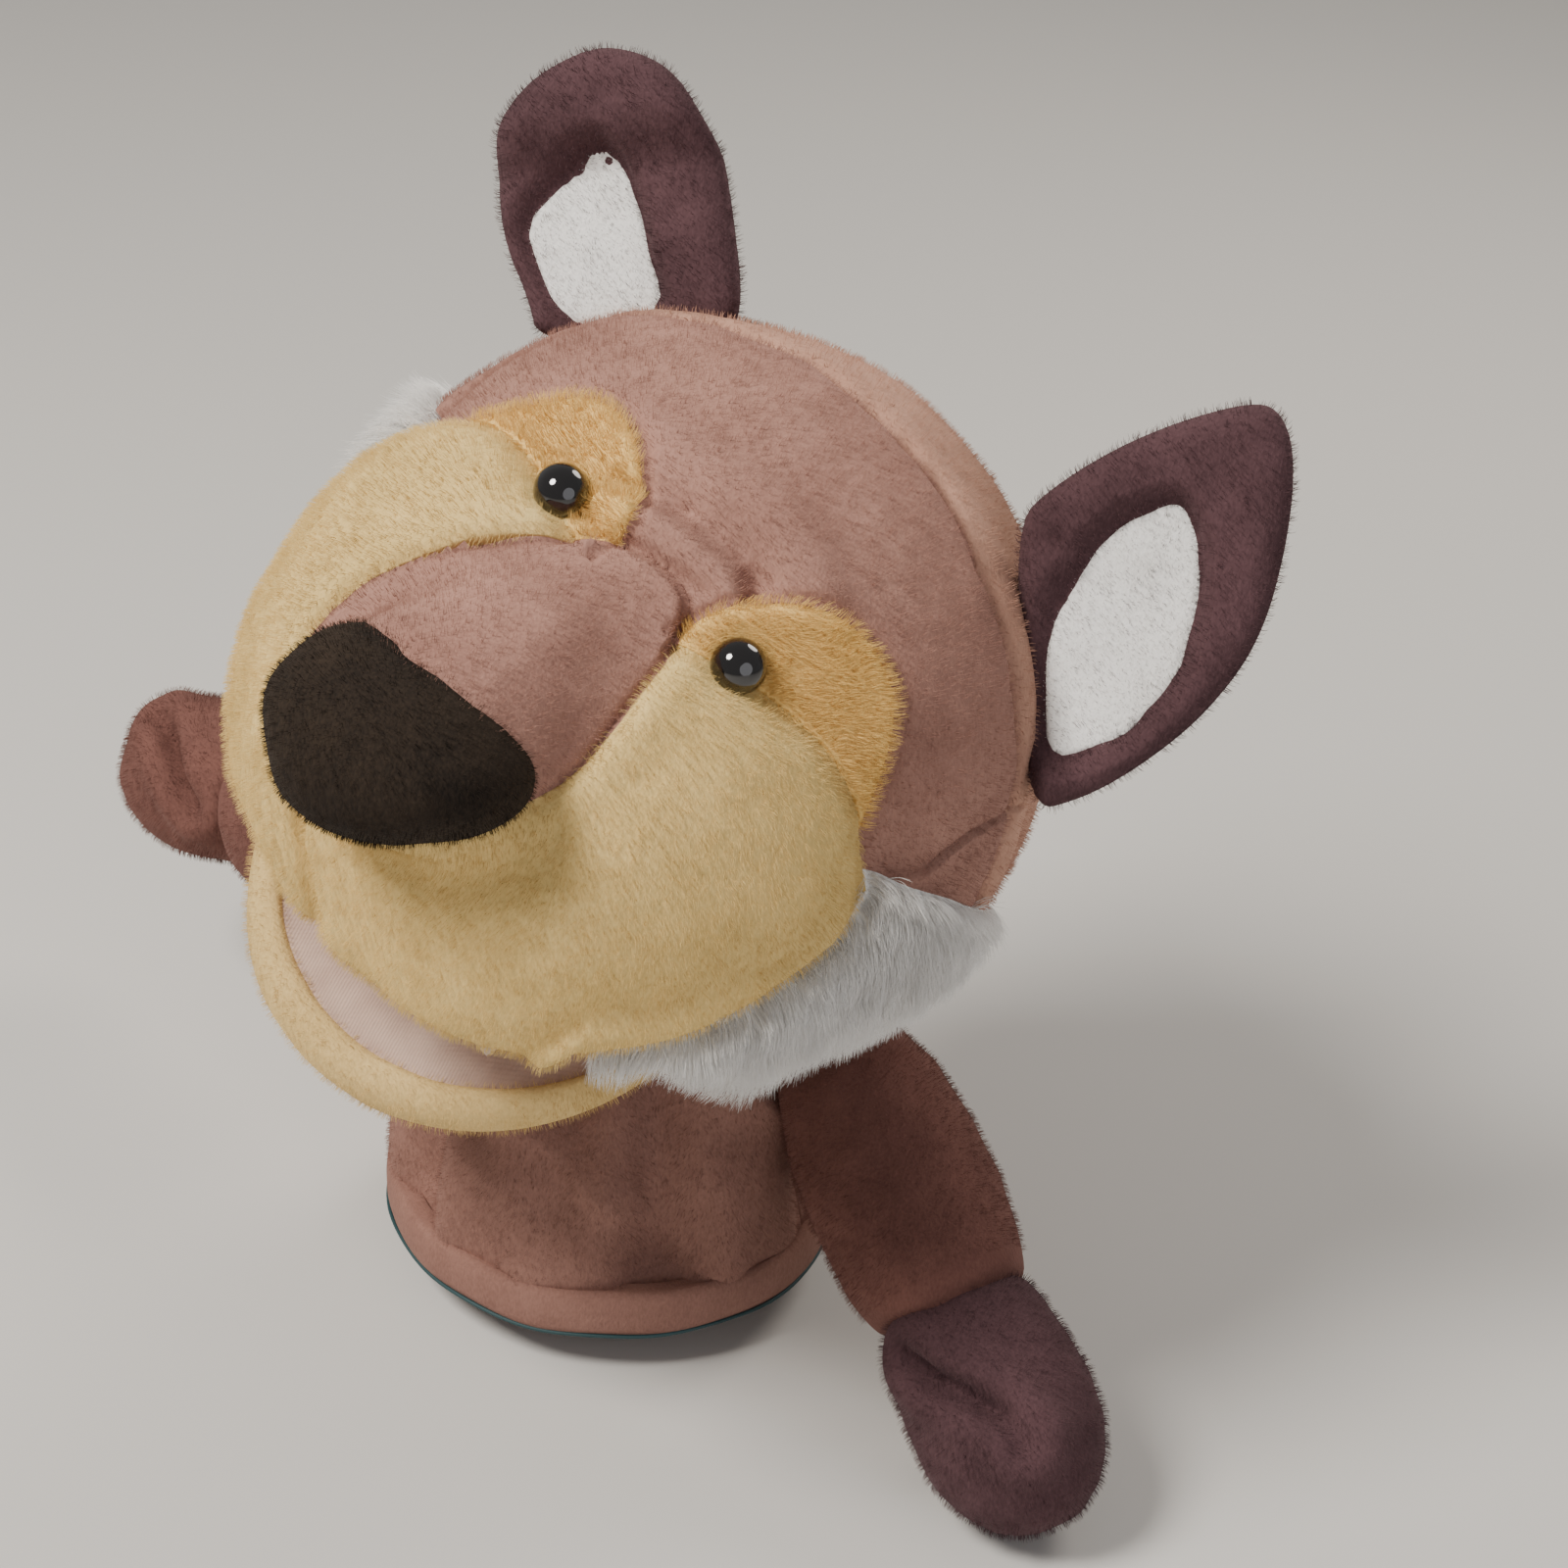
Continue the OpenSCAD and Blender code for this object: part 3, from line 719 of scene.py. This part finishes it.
def ear(name, plan, lining, side, thick, fold=None):
    s = 1 if side == "left" else -1
    poly = rounded(plan, 3)
    lo, hi = poly.min(0), poly.max(0)
    st = 0.9
    xs, zs = np.arange(lo[0] - 1, hi[0] + 1, st), np.arange(lo[1] - 1, hi[1] + 1, st)
    X, Z = np.meshgrid(xs, zs)
    n0, n1 = X.shape
    P2 = np.stack([X.ravel(), Z.ravel()], 1)
    q = np.arange(n0 * n1).reshape(n0, n1)
    f = np.stack([q[:-1, :-1], q[:-1, 1:], q[1:, 1:], q[1:, :-1]], -1).reshape(-1, 4)
    Ft = np.concatenate([f[:, :3], f[:, [0, 2, 3]]])
    sd = sdf_poly(P2, poly)
    A, Ft = clip(np.hstack([P2, sd[:, None]]), Ft, sd)
    P2, d = A[:, :2], np.clip(A[:, 2], 0, None)
    half = thick / 2 * np.sqrt(np.clip(1 - (1 - np.clip(d / 8.0, 0, 1)) ** 2, 0, 1))
    ls = sdf_poly(P2, rounded(lining, 2 if side == "left" else 1))
    # front: rim stands up round the sunken lining
    yf = half - 4.4 * np.clip((ls + 5) / 7, 0, 1) - 1.2 * bump_at(ls, 1.4)
    yb = half * 0.9
    crinkle = 0.5 * vnoise(np.stack([P2[:, 0], P2[:, 1], 0 * d], 1), 7, 5)
    base = np.clip(1 - (P2 @ np.array([0.707, 0.707]) + 4) / 26, 0, 1)
    fronts = np.stack([P2[:, 0], -(yf + crinkle * np.clip(d / 3, 0, 1)), P2[:, 1]], 1)
    backs = np.stack([P2[:, 0], yb + crinkle * np.clip(d / 3, 0, 1), P2[:, 1]], 1)

    def cup(P):
        P = P.copy()
        # cup the ear forwards at its sides and squeeze it at the root
        ax = P @ np.array([0.707, 0, -0.707])
        hgt = P @ np.array([0.707, 0, 0.707])
        P[:, 1] -= 0.0035 * (ax - 2) ** 2 * np.clip(1 - hgt / 70, 0.15, 1)
        if fold:
            h0, amt = fold
            k = np.clip((hgt - h0) / 16, 0, 1)
            P[:, 1] -= amt * k * k * (3 - 2 * k)
        P = P + EB
        P[:, 0] *= s
        return P

    n = len(P2)
    E = boundary_edges(Ft)
    V = np.vstack([cup(fronts), cup(backs)])
    Fr = np.concatenate([Ft, Ft[:, ::-1] + n, np.stack([E[:, 1], E[:, 0], E[:, 0] + n], 1), np.stack([E[:, 1], E[:, 0] + n, E[:, 1] + n], 1)])
    if s < 0:
        Fr = Fr[:, ::-1]
    V = h2b(V)
    o = mk("ear_%s_skin" % side, V, Fr, "plum", "ear_" + side)
    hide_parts("ear_shell_" + side)
    SURF["ear_" + side] = (V, Fr)
    # lining: its own panel over the sunken part
    A2, F2 = clip(np.hstack([P2, ls[:, None], yf[:, None], crinkle[:, None]]), Ft, ls)
    yl = A2[:, 3] + 0.5 + 0.35 * vnoise(np.stack([A2[:, 0], A2[:, 1], 0 * A2[:, 0]], 1), 9, 6) - 0.9 * np.clip(1 - A2[:, 2] / 1.2, 0, 1)
    L1 = cup(np.stack([A2[:, 0], -yl, A2[:, 1]], 1))
    if s < 0:
        F2 = F2[:, ::-1]
    L1 = h2b(L1)
    SURF["ear_lining_" + side] = (L1, F2)
    V2, F3 = shell(L1, F2, 0.8)
    o = mk("ear_%s_lining_skin" % side, V2, F3, "white", "ear_" + side)
    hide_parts("ear_lining_" + side)


ear("L", EAR_L, LIN_L, "left", 11.0)
ear("R", EAR_R, LIN_R, "right", 12.0, fold=(34, 7.0))

# ---------------------------------------------------------------- arms and paws
SH = np.array([56, 4, 82.0])


def arm_frame(side):
    if side == "left":
        R = rotz(-31.4) @ roty(34.4)
        return lambda p: np.asarray(p, float) @ R.T + SH
    R = rotz(19) @ roty(8.4)
    return lambda p: (np.asarray(p, float) @ R.T + SH) * np.array([-1, 1, 1])


def limb(profile, nth=96, nx=70, seed=0, wr=1.0, squash=(1.0, 1.0), flat_end=False, bend=None):
    xs = np.array([p[0] for p in profile], float)
    rs = np.array([p[1] for p in profile], float)
    tt = np.linspace(0, 1, nx)
    cum = np.concatenate([[0], np.cumsum(np.hypot(np.diff(xs), np.diff(rs)))])
    cum /= cum[-1]
    X, R = np.interp(tt, cum, xs), np.interp(tt, cum, rs)
    for _ in range(2):
        X[1:-1] = 0.25 * X[:-2] + 0.5 * X[1:-1] + 0.25 * X[2:]
        R[1:-1] = 0.25 * R[:-2] + 0.5 * R[1:-1] + 0.25 * R[2:]
    a = np.linspace(0, 2 * np.pi, nth, endpoint=False)
    P = np.stack([np.repeat(X, nth), (R[:, None] * np.cos(a)).ravel() * squash[0], (R[:, None] * np.sin(a)).ravel() * squash[1]], 1)
    F = np.array(grid_faces(nth, nx))
    return P, np.concatenate([F[:, :3], F[:, [0, 2, 3]]])


def close_ends(P, F, nth):
    n = len(P)
    P = np.vstack([P, P[:nth].mean(0), P[-nth:].mean(0)])
    F1 = [(i, n, (i + 1) % nth) for i in range(nth)]
    F2 = [(n - nth + i, n - nth + (i + 1) % nth, n + 1) for i in range(nth)]
    return P, np.vstack([F, F1, F2])


ARM = [(2, 6), (5, 12), (12, 17.5), (25, 22.0), (42, 24.4), (58, 24.6), (70, 23.6), (79, 21.6), (85, 19.4), (88.4, 17.4), (89, 13)]
PAW = [(83.6, 12), (84.0, 16.2), (87.0, 19.0), (93, 21.2), (102, 22.8), (114, 23.6), (124, 22.6), (133, 19.4), (139, 14.5), (142.6, 8.5), (143.8, 3)]
for side in ("left", "right"):
    fr = arm_frame(side)
    P, F = limb(ARM, seed=1)
    P, F = close_ends(P, F, 96)
    N = vnormals(P, F)
    ang = np.arctan2(P[:, 2], P[:, 1])
    sq = np.clip(1 - P[:, 0] / 30, 0, 1)
    wr = 1.1 * vnoise(P, 17, 2) + 0.5 * vnoise(P, 8, 3) - 1.6 * sq * (0.5 + 0.5 * np.cos(7 * ang))
    wr -= 1.5 * bump_at(P[:, 0] - 86, 2.4)
    P = P + wr[:, None] * N
    V = fr(P)
    if side == "right":
        F = F[:, ::-1]
    F = F[:, ::-1] if False else F
    o = mk("arm_%s_skin" % side, V, F, "brown")
    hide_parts("arm_cover_" + side, "arm_stuffing_" + side)
    SURF["arm_" + side] = (V, F)
    s0, s1 = fr(np.array([[76.0, 0, 0], [92.0, 0, 0]]))
    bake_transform(o)
    P, F = limb(PAW, seed=3)
    P, F = close_ends(P, F, 96)
    N = vnormals(P, F)
    wr = 0.9 * vnoise(P, 14, 5) + 0.4 * vnoise(P, 7, 6)
    # a pinched fold that sets off the thumb
    crease = [(93, -22, 4), (99.6, -20.6, 8.8), (104, -19, 13), (109.4, -16, 17), (116.2, -12.8, 19.6), (123.3, -10.3, 20.2)]
    if side == "right":
        crease = [(p[0], p[1], p[2]) for p in crease]
    dc = dist_poly3(P, crease)
    wr -= 6.0 * bump_at(dc, 2.6) * np.clip((126 - P[:, 0]) / 14, 0.3, 1)
    wr += 2.2 * bump_at(dc - 8, 5)
    P = P + wr[:, None] * N
    V = fr(P)
    if side == "right":
        F = F[:, ::-1]
    o = mk("paw_%s_skin" % side, V, F, "plum" if side == "left" else "brown", "paw_" + side)
    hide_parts("paw_cover_" + side, "paw_stuffing_" + side)
    SURF["paw_" + side] = (V, F)
    # gathered fabric where the arm is sewn on, over the root ball
    o = mk("arm_%s_root_skin" % side, *(lambda P, F: (fr(P), F))(*close_ends(*limb([(-14, 15), (-8, 17.5), (0, 17), (6, 14.6), (10, 12.5)], nx=24), 96)), "brown", "shoulder_" + side)
    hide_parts("arm_root_" + side)


# ---------------------------------------------------------------- sleeve, hem, neck
def sleeve_r(z):
    return np.where(z < 44, 61 - 3 * z / 44, np.where(z < 84, 58 - 12 * (z - 44) / 40, 46 - 8.5 * (z - 84) / 24))


def folds(a, z):
    """long soft folds down the sleeve and round the arm roots"""
    k = np.clip(z / 20, 0, 1) * np.clip((103 - z) / 30, 0.25, 1)
    f = 2.6 * np.cos(5 * a + 0.9 + z * 0.018) + 1.8 * np.cos(9 * a - 1.1 - z * 0.03) + 1.1 * np.cos(14 * a + 2.0 + z * 0.02)
    P = np.stack([60 * np.cos(a), 60 * np.sin(a), z * 0.6], -1)
    f = f + 2.2 * vnoise(P, 26, 3) + 0.8 * vnoise(P, 11, 4)
    q = a + 0.021 * z
    g = 1 - np.abs(np.sin(2.5 * q + 0.6))
    f = f + 3.4 * (g ** 2) * np.exp(-((z - 62) / 30) ** 2) - 1.2
    return 1.45 * k * f


na, nz = 240, 90
a = np.linspace(0, 2 * np.pi, na, endpoint=False)
zz = np.linspace(6, 100, nz)
AA, ZZ = np.meshgrid(a, zz)
RO = sleeve_r(ZZ) + folds(AA, ZZ) - 0.4 - 2.6 * np.clip((ZZ - 52) / 16, 0, 1) * np.abs(np.cos(AA)) ** 2
top = np.clip((ZZ - 92) / 8, 0, 1)


def tube_obj(name, R0, R1, Z, mat, body, nodes):
    n0 = R0.shape[0]
    outer = np.stack([R0 * np.cos(AA[:n0]), R0 * np.sin(AA[:n0]), Z], -1).reshape(-1, 3)
    inner = np.stack([R1 * np.cos(AA[:n0]), R1 * np.sin(AA[:n0]), Z], -1).reshape(-1, 3)
    n = len(outer)
    F = grid_faces(na, n0)
    Fi = [tuple(reversed([q + n for q in f])) for f in F]
    rim = []
    for i in range(na):
        j = (i + 1) % na
        rim.append((j, i, i + n, j + n))
        b = (n0 - 1) * na
        rim.append((b + i, b + j, b + j + n, b + i + n))
    V = np.vstack([outer, inner])
    o = mk(name, V, F + Fi + rim, mat, body)
    if nodes:
        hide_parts(*nodes)
    Fq = np.array(F)
    return o, (outer, np.concatenate([Fq[:, :3], Fq[:, [0, 2, 3]]]))


# front and back halves share the same form; each is its own panel
def half_obj(name, sign, nodes):
    sel = np.where(np.sin(a) * sign >= -1e-9)[0]
    sel = sel[np.argsort(np.mod(a[sel] - (0 if sign > 0 else np.pi), 2 * np.pi))]
    m = len(sel)
    side_pinch = np.minimum(np.abs(np.cos(a[sel])), 1)
    seam = 1.2 * np.exp(-((1 - np.abs(np.cos(a[sel]))) / 0.004) ** 2)
    R = RO[:, sel] - seam
    Ri = R - 2.2
    outer = np.stack([R * np.cos(a[sel]), R * np.sin(a[sel]), ZZ[:, sel]], -1).reshape(-1, 3)
    inner = np.stack([Ri * np.cos(a[sel]), Ri * np.sin(a[sel]), ZZ[:, sel]], -1).reshape(-1, 3)
    Fq = np.array(grid_faces(m, nz, False))
    Ft = np.concatenate([Fq[:, :3], Fq[:, [0, 2, 3]]])
    n = len(outer)
    E = boundary_edges(Ft)
    F = np.concatenate([Ft, Ft[:, ::-1] + n, np.stack([E[:, 1], E[:, 0], E[:, 0] + n], 1), np.stack([E[:, 1], E[:, 0] + n, E[:, 1] + n], 1)])
    o = mk(name, np.vstack([outer, inner]), F, "sleeve", "sleeve")
    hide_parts(*nodes)
    SURF[name] = (outer, Ft)


half_obj("sleeve_front_skin", -1, ["sleeve_front"])
half_obj("sleeve_back_skin", 1, ["sleeve_back"])
o, _ = tube_obj("sleeve_lining_skin", RO - 2.4, RO - 3.4, ZZ, "lining", "sleeve", ["sleeve_lining"])

# hem: rolled band, with a thin very dark teal ring along its lower edge, just above the floor
hp = [(-2.6, 14), (0.4, 15.6), (1.8, 13.5), (2.2, 9), (2.0, 4.5), (1.2, 1.6), (-0.8, 0.2), (-3.2, 0.4), (-4.6, 2.2), (-5.2, 8), (-5.2, 13), (-4.2, 15)]
V, F = [], []
m = len(hp)
for i in range(na):
    ph = a[i]
    wob = 0.7 * math.cos(5 * ph + 0.9) + 0.4 * math.cos(9 * ph)
    for dr, z in hp:
        r = 60 + dr + wob * 0.5
        V.append((r * math.cos(ph), r * math.sin(ph), z + 0.3 * math.cos(11 * ph)))
for i in range(na):
    for j in range(m):
        F.append((i * m + j, i * m + (j + 1) % m, ((i + 1) % na) * m + (j + 1) % m, ((i + 1) % na) * m + j))
V = np.array(V)
o = mk("hem_skin", V, F, "sleeve", "sleeve")
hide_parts("cuff_hem")
Fq = np.array(F)
SURF["hem"] = (V, np.concatenate([Fq[:, :3], Fq[:, [0, 2, 3]]]))
V, F = [], []
for i in range(na):
    ph = a[i]
    for j in range(8):
        t = 2 * math.pi * j / 8
        r = 61.6 + 0.35 * math.cos(5 * ph + 0.9) + 0.55 * math.cos(t)
        V.append((r * math.cos(ph), r * math.sin(ph), 2.0 + 0.55 * math.sin(t) + 0.3 * math.cos(11 * ph)))
for i in range(na):
    for j in range(8):
        F.append((i * 8 + j, i * 8 + (j + 1) % 8, ((i + 1) % na) * 8 + (j + 1) % 8, ((i + 1) % na) * 8 + j))
o = mk("hem_dark_ring", np.array(V), F, "teal", "sleeve")


def rot_between(f):
    """neck orientation: f = 0 upright, f = 1 the head's own tilt"""
    q0 = Matrix(np.eye(3).tolist()).to_quaternion()
    q1 = Matrix(RH.tolist()).to_quaternion()
    return np.array(q0.slerp(q1, f).to_matrix())


def neck_strip(name, f0, f1, nodes, k=14):
    rings = []
    for j in range(k):
        f = f0 + (f1 - f0) * j / (k - 1)
        R = rot_between(np.clip((f - 0.05) / 0.9, 0, 1))
        c = (1 - f) * np.array([0, 0, 98.0]) + f * (NECK + RH @ np.array([0, 0, 16.0]))
        c = c + 4 * math.sin(math.pi * f) * np.array([-0.3, 0.4, 0])
        r = 40.6 + 5.5 * f + 1.4 * math.sin(math.pi * f)
        rr = r + (1 - f) * 0.25 * folds(a, np.full(na, 100.0)) + 0.9 * np.sin(math.pi * min(1, f)) * np.cos(11 * a + 1.0) + 1.3 * math.sin(3 * math.pi * f) * 0.4
        rings.append((np.stack([rr * np.cos(a), rr * np.sin(a), 0 * a], 1) @ R.T + c, np.stack([(rr - 2) * np.cos(a), (rr - 2) * np.sin(a), 0 * a], 1) @ R.T + c))
    outer = np.concatenate([r[0] for r in rings])
    inner = np.concatenate([r[1] for r in rings])
    n = len(outer)
    Fq = np.array(grid_faces(na, k))
    Ft = np.concatenate([Fq[:, :3], Fq[:, [0, 2, 3]]])
    E = boundary_edges(Ft)
    F = np.concatenate([Ft, Ft[:, ::-1] + n, np.stack([E[:, 1], E[:, 0], E[:, 0] + n], 1), np.stack([E[:, 1], E[:, 0] + n, E[:, 1] + n], 1)])
    o = mk(name, np.vstack([outer, inner]), F, "sleeve")
    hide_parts(*nodes)
    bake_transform(o)


neck_strip("neck_skin_low", 0.0, 0.34, ["neck_ring_lower"])
neck_strip("neck_skin_mid", 0.34, 0.67, ["neck_ring_upper"])
neck_strip("neck_skin_top", 0.67, 1.0, ["neck_collar"])

# ---------------------------------------------------------------- pile
down = RH @ np.array([0, -0.2, -0.6])
FUR = 1
if FUR:
    hb = lambda v: RH @ np.array(v, float)
    fuzz("pile_forehead", *SURF["forehead"], "mauve", "head", 1.0, 1.5, hb((0, 0.5, 0.5)), 0.05, seed=11)
    # the back panel's pile uses the same mauve with painted warm backlight
    fuzz("pile_back", *SURF["back"], "back", "head", 0.5, 1.6, hb((0, 0.6, -0.3)), 0.06, seed=12)
    fuzz("pile_bridge", *SURF["bridge"], "mauve", "head", 1.0, 1.5, hb((0, 0.5, 0.4)), 0.05, seed=13)
    fuzz("pile_muz_l", *SURF["muzzle_left"], "cream", "head", 1.6, 2.0, hb((0.3, 0.3, -0.9)), 0.05, seed=14)
    fuzz("pile_muz_r", *SURF["muzzle_right"], "cream", "head", 1.6, 2.0, hb((-0.3, 0.3, -0.9)), 0.05, seed=15)
    fuzz("pile_patch_l", *SURF["patch_left"], "gold", "head", 4.0, 3.0, hb((0.5, 0.2, 0.6)), 0.05, seed=16)
    fuzz("pile_patch_r", *SURF["patch_right"], "gold", "head", 4.0, 3.0, hb((-0.5, 0.2, 0.6)), 0.05, seed=17)
    fuzz("pile_tuft_l", *SURF["tuft_left"], "white", "head", 3.0, 8.0, hb((0.1, 0.3, -1.1)), 0.07, seed=18)
    fuzz("pile_tuft_r", *SURF["tuft_right"], "white", "head", 2.0, 9.0, hb((-0.1, 0.3, -1.1)), 0.07, seed=19)
    fuzz("pile_nose", *SURF["nose"], "nose", "head", 1.2, 1.2, hb((0, 0.2, -0.5)), 0.05, seed=20)
    fuzz("pile_jaw", *SURF["jaw"], "lip", "jaw", 0.8, 1.6, (0, 0, -0.4), 0.05, seed=21)
    for side in ("left", "right"):
        fuzz("pile_ear_" + side, *SURF["ear_" + side], "plum", "ear_" + side, 0.9, 1.8, (0, 0, 0.5), 0.05, seed=22)
        fuzz("pile_earlin_" + side, *SURF["ear_lining_" + side], "white", "ear_" + side, 0.8, 0.7, (0, 0, 0.5), 0.05, seed=23)
        fuzz("pile_paw_" + side, *SURF["paw_" + side], "plum" if side == "left" else "brown", "paw_" + side, 0.9, 1.7, (0.2, -0.2, -0.5), 0.05, seed=24)
        V, F = SURF["arm_" + side]
        fr = arm_frame(side)
        e0 = fr(np.array([[0, 0, 0], [1.0, 0, 0]]))
        ax = e0[1] - e0[0]
        keep = ((V[F].mean(1) - e0[0]) @ ax) < 78
        fuzz("pile_arm_" + side, V, F[keep], "brown", "arm_" + side, 0.9, 1.5, (0.1, 0, -0.5), 0.05, seed=25)
    fuzz("pile_sleeve_f", *SURF["sleeve_front_skin"], "sleeve", "sleeve", 0.7, 1.4, (0, 0, -0.5), 0.05, seed=26)
    fuzz("pile_sleeve_b", *SURF["sleeve_back_skin"], "sleeve", "sleeve", 0.3, 1.4, (0, 0, -0.5), 0.06, seed=27)

# ---------------------------------------------------------------- stage, camera, light
import mathutils
me = bpy.data.meshes.new("floor")
S = 4.0
# pale ground below and a soft curved backdrop
pts, fs = [], []
rows = 24
for j in range(rows + 1):
    t = j / rows
    if t < 0.5:
        y, z = -2.5 + 4.2 * (t / 0.5), 0.0
    else:
        u = (t - 0.5) / 0.5 * math.pi / 2
        y, z = 1.7 + 0.9 * math.sin(u), 0.9 * (1 - math.cos(u)) * 2.4
    for x in (-S, S):
        pts.append((x, y, z - 0.0105))
for j in range(rows):
    fs.append((2 * j, 2 * j + 1, 2 * j + 3, 2 * j + 2))
me.from_pydata(pts, [], fs)
me.polygons.foreach_set("use_smooth", [True] * len(me.polygons))
fm = bpy.data.materials.new("stage_pale")
fm.use_nodes = True
fm.node_tree.nodes["Principled BSDF"].inputs["Base Color"].default_value = (0.62, 0.60, 0.57, 1)
fm.node_tree.nodes["Principled BSDF"].inputs["Roughness"].default_value = 0.85
me.materials.append(fm)
floor = bpy.data.objects.new("floor", me)
bpy.context.scene.collection.objects.link(floor)

psi, eps, rho, DD, tx, ty = [math.radians(13.41), math.radians(19.51), math.radians(40.39), 756.22, 15.05, -28.31]
Vv = np.array([math.sin(psi) * math.cos(eps), -math.cos(psi) * math.cos(eps), math.sin(eps)])
R0 = np.array([math.cos(psi), math.sin(psi), 0])
U0 = np.cross(Vv, R0)
Rr = R0 * math.cos(rho) + U0 * math.sin(rho)
Uu = -R0 * math.sin(rho) + U0 * math.cos(rho)
Cc = tx * Rr + ty * Uu + DD * Vv
cb = h2b(Cc[None])[0] / 1000
M = np.eye(4)
M[:3, 0], M[:3, 1], M[:3, 2], M[:3, 3] = RH @ Rr, RH @ Uu, RH @ Vv, cb
cam = bpy.data.cameras.new("cam")
cam.lens, cam.sensor_width = 70, 36
cam.clip_start, cam.clip_end = 0.05, 20
co = bpy.data.objects.new("cam", cam)
co.matrix_world = Matrix(M.tolist())
bpy.context.scene.collection.objects.link(co)
bpy.context.scene.camera = co

tgt = Vector((0.0, -0.03, 0.15))


def area(name, loc, size, power, colr):
    l = bpy.data.lights.new(name, "AREA")
    l.shape = "DISK"
    l.size, l.energy, l.color = size, power, colr
    o = bpy.data.objects.new(name, l)
    o.location = loc
    o.rotation_euler = (tgt - Vector(loc)).to_track_quat("-Z", "Y").to_euler()
    bpy.context.scene.collection.objects.link(o)


area("key", (-0.55, -0.85, 1.35), 0.55, 36.0, (1.0, 0.96, 0.90))
area("fill", (1.3, -0.9, 0.6), 1.4, 6.0, (0.95, 0.95, 1.0))
area("rim", (0.4, 1.0, 1.1), 0.7, 9.0, (1.0, 0.93, 0.85))
w = bpy.data.worlds.new("w")
bpy.context.scene.world = w
w.use_nodes = True
w.node_tree.nodes["Background"].inputs["Color"].default_value = (0.80, 0.80, 0.80, 1)
w.node_tree.nodes["Background"].inputs["Strength"].default_value = 0.32
